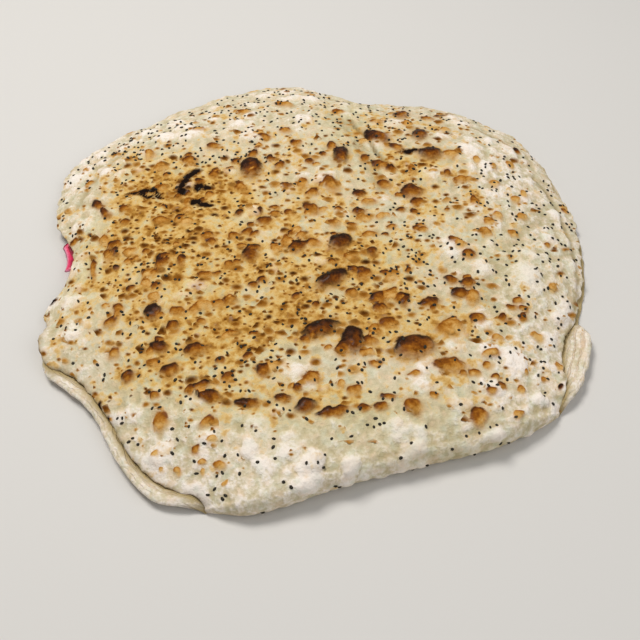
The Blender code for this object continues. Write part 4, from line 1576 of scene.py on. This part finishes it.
    def _record_edges(self, mesh: bpy.types.Mesh, deep: Points) -> None:
        """Stores the painted shade along pressed lines and beside the lower half's lip, and how
        far off its lip the dough is.
        """
        rim, laid = self.fine.rim, self.fine.laid
        pressed = np.max([-line.rise / line.reach * line.near(laid)
                          for line in PRESSED_LINES], axis=0)
        past_lip = np.clip(distance_to(self.fine.sheet.lip, self.plan) - 6, 0, None)
        # Painted shade on the upper half's edge beside the lower half's lip.
        beside_lip = bump(rim / 2.2) * bump(past_lip / 6)
        crevice = np.maximum(np.clip(0.6 * pressed, 0, 0.7), 0.45 * beside_lip)
        set_attribute(mesh, "crevice", crevice * self.upper)
        set_attribute(mesh, "lip", np.where(self.upper | (rim > 0.5), self.no_lip, self.from_lip),
                      np.where(self.upper, self.no_lip, self.from_lip)[deep])

    def _record_blisters(self, mesh: bpy.types.Mesh, deep: Points) -> None:
        """Stores how the blisters are baked, where the crust is burnt black, and the dark spots of
        painted shade in the gap between the halves.
        """
        set_attribute(mesh, "dome", self.crust.dome, -1)
        set_attribute(mesh, "lean", self.crust.lean)
        set_attribute(mesh, "bake", self.crust.bake * np.where(self.upper, 1, 0.6))
        # Charred marks, and dark spots of painted shade in the gap between the halves.
        burnt = CrustMap(self.fine.laid)
        burnt.add(CHARRED)
        set_attribute(mesh, "char", np.where(self.upper, burnt.dome, -1),
                      np.where(self.upper, -1, burnt.dome)[deep])

    def _groove(self) -> Points:
        """Returns how deep in the gap between the two halves the inner face is, for the painted
        shade there; the upper half's underside gets half of that shade.
        """
        to_upper = distance_to(self.fine.sheet.upper_edge, self.plan)
        return np.where(self.lower, bump(to_upper / self.groove_width), 0.5)

    def _patched(self, patches: Iterable[Patch]) -> Points:
        """Adds up soft patches."""
        return sum(patch.over(self.fine.laid) for patch in patches)

    def _toast(self) -> Points:
        """Returns how browned the dough is."""
        bend = 0.35 * bump(distance_to(self.fine.sheet.fold, self.fine.laid) / 12)
        return np.clip(0.06 + self._patched(TOASTED), 0, 1) - bend

    def _olive(self) -> Points:
        """Returns where the dough has a greenish cast."""
        return np.clip(self._patched(GREENISH), 0, 1)

    def _flour(self) -> Points:
        """Returns how much flour is left on the dough."""
        return 0.45 + self._patched(FLOURED)

    def _seeding(self) -> Points:
        """Returns how thickly seeds lie, which is not at all near the rim and the floor."""
        thick = np.clip(0.26 + self._patched(SEEDED), 0, 1)
        clumps = soft_step(swollen(self.fine.laid, self.clumps, 0.4))
        inland = soft_step((self.fine.rim - self.seed_off_rim) / self.seed_ease)
        raised = soft_step((self.fine.points[..., 2] - self.seed_height) / self.seed_ease)
        return thick * (0.15 + 0.85 * clumps) * self.upper * (inland * raised)


@dataclass
class Seeds:
    """The small black seeds scattered over the upper half."""

    length: float = 2.35
    width: float = 1.55
    height: float = 1.4
    sink: float = 0.1
    most: float = 90000.0
    spacing: float = 1.9
    seed: int = 3
    tilt: float = 0.25
    smallest: tuple[float, float, float] = (0.75, 0.8, 0.8)
    largest: tuple[float, float, float] = (1.15, 1.2, 1.2)

    def build(self, bread: bpy.types.Object) -> bpy.types.Object:
        """Scatters the seeds on the bread.

        Args:
            bread: The bread, whose mesh says how thickly they lie.

        Returns:
            All the seeds as one plain mesh.
        """
        carrier = bpy.data.objects.new("seed_carrier", bread.data.copy())
        bpy.context.scene.collection.objects.link(carrier)
        modifier = carrier.modifiers.new("scatter", "NODES")
        modifier.node_group = ScatterTree().build(self)
        sizes = {"Length": self.length * MM, "Width": self.width * MM, "Height": self.height * MM,
                 "Sink": self.sink * MM, "Density": self.most, "Spacing": self.spacing * MM,
                 "Seed": self.seed, "Material": BlackSeed().material()}
        for item in modifier.node_group.interface.items_tree:
            if item.item_type == "SOCKET" and item.name in sizes:
                modifier[item.identifier] = sizes[item.name]
        evaluated = carrier.evaluated_get(bpy.context.evaluated_depsgraph_get())
        mesh = bpy.data.meshes.new_from_object(evaluated)
        bpy.data.objects.remove(carrier)
        seeds = bpy.data.objects.new("seeds", mesh)
        bpy.context.scene.collection.objects.link(seeds)
        mesh.shade_smooth()
        return seeds


class ScatterTree:
    """The node group that scatters seeds on a surface."""

    numbers = ("Length", "Width", "Height", "Sink", "Density", "Spacing")

    def __init__(self) -> None:
        """Starts the group with its named inputs."""
        self.group = bpy.data.node_groups.new("scatter_seeds", "GeometryNodeTree")
        sockets = [("Geometry", "Geometry"), *((name, "Float") for name in self.numbers),
                   ("Seed", "Int"), ("Material", "Material")]
        for name, kind in sockets:
            self.group.interface.new_socket(name, in_out="INPUT", socket_type=f"NodeSocket{kind}")
        self.group.interface.new_socket("Geometry", in_out="OUTPUT",
                                        socket_type="NodeSocketGeometry")

    def add(self, kind: str, settings: dict | None = None, sockets: dict | None = None) \
            -> bpy.types.Node:
        """Adds any node.

        Args:
            kind: The node's type.
            settings: Its properties, which are set before its sockets.
            sockets: A number, vector, name or output for each input, by name or place.

        Returns:
            The node.
        """
        made = self.group.nodes.new(kind)
        for name, setting in (settings or {}).items():
            setattr(made, name, setting)
        for name, given in (sockets or {}).items():
            if isinstance(given, bpy.types.NodeSocket):
                self.group.links.new(given, made.inputs[name])
            else:
                made.inputs[name].default_value = given
        return made

    def build(self, seeds: Seeds) -> bpy.types.GeometryNodeTree:
        """Scatters grains, makes them real and gives them their material."""
        given = self.add("NodeGroupInput").outputs
        thick = self.add("GeometryNodeInputNamedAttribute", {"data_type": "FLOAT"},
                         {"Name": "seeded"})
        spots = self.add("GeometryNodeDistributePointsOnFaces", {"distribute_method": "POISSON"}, {
            "Mesh": given["Geometry"], "Distance Min": given["Spacing"],
            "Density Max": given["Density"], "Density Factor": thick.outputs[0],
            "Seed": given["Seed"]})
        spin = self._random((-seeds.tilt, -seeds.tilt, 0.0), (seeds.tilt, seeds.tilt, math.tau))
        turn = self.add("FunctionNodeRotateRotation", {"rotation_space": "LOCAL"}, {
            "Rotation": spots.outputs["Rotation"], 1: spin})
        grains = self.add("GeometryNodeInstanceOnPoints", None, {
            "Points": spots.outputs["Points"], "Instance": self._grain(given),
            "Rotation": turn.outputs[0], "Scale": self._random(seeds.smallest, seeds.largest)})
        real = self.add("GeometryNodeRealizeInstances", None, {"Geometry": grains.outputs[0]})
        dressed = self.add("GeometryNodeSetMaterial", None, {
            "Geometry": real.outputs[0], "Material": given["Material"]})
        self.add("NodeGroupOutput", None, {"Geometry": dressed.outputs[0]})
        return self.group

    def _grain(self, given: bpy.types.bpy_prop_collection) -> bpy.types.NodeSocket:
        """Makes one seed, sunk a little into the crust."""
        ball = self.add("GeometryNodeMeshUVSphere", None, {
            "Segments": 6, "Rings": 5, "Radius": 0.5})
        size = self.add("ShaderNodeCombineXYZ", None, {
            "X": given["Length"], "Y": given["Width"], "Z": given["Height"]})
        sunk = self.add("ShaderNodeMath", {"operation": "MULTIPLY"}, {0: given["Sink"], 1: -1.0})
        place = self.add("ShaderNodeCombineXYZ", None, {"Z": sunk.outputs[0]})
        grain = self.add("GeometryNodeTransform", None, {
            "Geometry": ball.outputs["Mesh"], "Scale": size.outputs[0],
            "Translation": place.outputs[0]})
        return grain.outputs["Geometry"]

    def _random(self, low: Sequence[float], high: Sequence[float]) -> bpy.types.NodeSocket:
        """Draws a vector for each seed."""
        return self.add("FunctionNodeRandomValue", {"data_type": "FLOAT_VECTOR"},
                        {0: low, 1: high}).outputs[0]


@dataclass
class Filling:
    """The flat pink layer between the two halves."""

    sheet: FoldedSheet
    clearance: float = 1.3
    inset: float = 0.07
    fold_inset: float = 0.05
    edge_height: float = 2.0
    edge_round: float = 24.0
    tongue_reach: float = 6.0
    tongue_half_width: float = 17.0
    tongue_shoulder: float = 8.0
    tongue_shift: float = 6.0
    tongue_fade: float = 1.5
    rind_step: float = 2.2
    rind_reach: float = 4.0
    column_crowding: float = 1.3
    rows: int = 136
    columns: int = 52

    def build(self) -> bpy.types.Object:
        """Makes the layer, thickest in the middle, with a tongue out of the notch."""
        upper, dough = self.sheet.upper, self.sheet.dough
        lining = upper - grid_normals(upper) * dough.thickness
        v, u = np.meshgrid(np.linspace(self.fold_inset, 1 - self.inset, self.rows + 1),
                           np.linspace(0, 1, self.columns + 1)**self.column_crowding,
                           indexing="ij")
        tongue = self._tongue(v)
        left = self.inset * (1 - tongue)
        layer = self._sample(lining, left + (1 - self.inset - left) * u, v)
        away = np.minimum.reduce([
            layer[..., 0] - layer[:, :1, 0], layer[:, -1:, 0] - layer[..., 0],
            layer[..., 1] - layer[:1, :, 1], layer[-1:, :, 1] - layer[..., 1]])
        layer[..., 0] -= self.tongue_reach * tongue * bump(
            np.arange(self.columns + 1) * 13 / self.columns / self.tongue_fade)
        bottom = dough.thickness + self.clearance
        layer[..., 2] = self._heights(layer, away, bottom)
        filling = self._solid(layer, bottom)
        filling.data.materials.append(PinkPickle().material())
        return filling

    def _tongue(self, rows: Points) -> Points:
        """Returns 1 in the notch and 0 elsewhere, for shares of the way from the fold."""
        side = self.sheet.upper[:, 0, :2]
        notch = np.argmin(np.linalg.norm(side - np.array(self.sheet.dough.notch_centre), axis=1))
        from_notch = np.interp(rows, np.linspace(0, 1, len(side)), side[:, 1]) - side[notch, 1]
        from_notch -= self.tongue_shift
        return soft_step((self.tongue_half_width - abs(from_notch)) / self.tongue_shoulder)

    def _heights(self, layer: Points, away: Points, bottom: float) -> Points:
        """Works out how high the layer's top may be.

        Args:
            layer: Its points on the upper half's inner face.
            away: How far they are from its edge.
            bottom: The height of its underside.

        Returns:
            The height at each point.
        """
        under = np.minimum(layer[..., 2], self.sheet.upper_heights(layer[..., :2])
                           - self.sheet.dough.thickness)
        room = under - self.clearance - bottom
        rounding = 1 - (1 - np.clip(away / self.edge_round, 0, 1))**2
        edge = np.minimum(self.edge_height, room)
        return bottom + edge + (room - edge) * rounding

    def _solid(self, top: Points, bottom: float) -> bpy.types.Object:
        """Closes the layer with a flat underside and rounds its edge."""
        under = top.copy()
        under[..., 2] = bottom
        edge = np.ones(top.shape[:2], bool)
        edge[1:-1, 1:-1] = False
        top = top.copy()
        top[..., 2] = np.where(edge, (top[..., 2] + bottom) / 2, top[..., 2])
        lines = [np.arange(0, size, 2) for size in top.shape[:2]]
        filling = closed_shell("pickle_layer", top, under, lines)
        from_left = np.broadcast_to(np.arange(top.shape[1]) * self.rind_step, top.shape[:2])
        set_attribute(filling.data, "rind", bump(from_left / self.rind_reach))
        return filling

    @staticmethod
    def _sample(grid: Points, u: Points, v: Points) -> Points:
        """Reads a grid at shares of its columns and rows."""
        row, column = v * (grid.shape[0] - 1), u * (grid.shape[1] - 1)
        top, left = (np.clip(np.floor(k).astype(int), 0, size - 2)
                     for k, size in ((row, grid.shape[0]), (column, grid.shape[1])))
        down, across = (row - top)[..., None], (column - left)[..., None]
        return ((1 - down) * ((1 - across) * grid[top, left] + across * grid[top, left + 1])
                + down * ((1 - across) * grid[top + 1, left]
                          + across * grid[top + 1, left + 1]))


# ---------------------------------------------------------------- the studio


@dataclass(frozen=True)
class SoftLight:
    """A large square lamp.

    Attributes:
        place: Where it hangs, in metres.
        size: Its side, in metres.
        power: Its strength in watts.
        colour: Its tint.
    """

    place: tuple[float, float, float]
    size: float
    power: float
    colour: Colour = (1.0, 1.0, 1.0)

    def build(self, name: str) -> None:
        """Hangs the lamp, facing the bread."""
        lamp = bpy.data.lights.new(name, "AREA")
        lamp.size = self.size
        lamp.energy = self.power
        lamp.color = self.colour
        obj = bpy.data.objects.new(name, lamp)
        obj.location = self.place
        obj.rotation_euler = (-Vector(self.place)).to_track_quat("-Z", "Y").to_euler()
        bpy.context.scene.collection.objects.link(obj)


@dataclass(frozen=True)
class Studio:
    """The floor, the light and the camera."""

    view_point: tuple[float, float, float] = (0.003, -0.3488, 0.3677)
    aim: tuple[float, float, float] = (0.003, -0.0403, 0.0)
    lens: float = 50.8
    floor_side: float = 6.0
    sky: tuple[float, float, float, float] = (0.93, 0.96, 1.0, 1.0)
    sky_strength: float = 0.32
    lights: tuple[SoftLight, ...] = (
        SoftLight((-0.36, 0.3, 1.15), 0.45, 11.2, (1.0, 0.985, 0.96)),
        SoftLight((0.95, -0.5, 1.1), 1.2, 5.6, (0.96, 0.98, 1.0)),
    )

    def build(self) -> None:
        """Sets up everything that isn't the bread."""
        bpy.context.scene.view_settings.view_transform = "Standard"
        self._room()
        self._floor()
        for number, light in enumerate(self.lights):
            light.build(f"soft_light_{number}")
        self._camera()

    def _room(self) -> None:
        """Lights the scene evenly from all round."""
        world = bpy.data.worlds.new("soft_room")
        world.use_nodes = True
        background = world.node_tree.nodes["Background"]
        background.inputs["Color"].default_value = self.sky
        background.inputs["Strength"].default_value = self.sky_strength
        bpy.context.scene.world = world

    def _floor(self) -> None:
        """Lays the floor."""
        mesh = bpy.data.meshes.new("floor")
        side = self.floor_side / 2
        mesh.from_pydata([(-side, -side, 0), (side, -side, 0), (side, side, 0), (-side, side, 0)],
                         [], [(0, 1, 2, 3)])
        mesh.materials.append(PlainFloor().material())
        floor = bpy.data.objects.new("floor", mesh)
        bpy.context.scene.collection.objects.link(floor)

    def _camera(self) -> None:
        """Puts the camera where the photo was taken from."""
        data = bpy.data.cameras.new("camera")
        data.lens = self.lens
        camera = bpy.data.objects.new("camera", data)
        camera.location = self.view_point
        direction = Vector(self.aim) - Vector(self.view_point)
        camera.rotation_euler = direction.to_track_quat("-Z", "Y").to_euler()
        bpy.context.scene.collection.objects.link(camera)
        bpy.context.scene.camera = camera


# ---------------------------------------------------------------- assembly


def centre(obj: bpy.types.Object, middle: Points) -> None:
    """Moves a mesh so that this point of its plan, in millimetres, is over the origin."""
    flat = np.empty(len(obj.data.vertices) * 3)
    obj.data.vertices.foreach_get("co", flat)
    flat = flat.reshape(-1, 3) - np.array([middle[0], middle[1], 0]) * MM
    obj.data.vertices.foreach_set("co", flat.ravel())
    obj.data.update()


def main() -> None:
    """Builds the bread around the frame, piece by piece."""
    logging.basicConfig(level=logging.INFO, format="%(name)s: %(message)s")
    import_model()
    Studio().build()
    sheet = FoldedSheet(FoldedDough())
    fine = FineSheet(sheet)
    corners = fine.points.reshape(-1, 3)
    middle = (corners.min(axis=0) + corners.max(axis=0)) / 2
    bread = Bread(fine).build()
    seeds = Seeds().build(bread)
    filling = Filling(sheet).build()
    for piece, slot in ((bread, "bread"), (seeds, "bread"), (filling, "filling")):
        centre(piece, middle)
        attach(piece, "root")
        log.info("%s: %d faces", piece.name, len(piece.data.polygons))
    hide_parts("flatbread")
    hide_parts("filling")


if __name__ == "__main__":
    main()
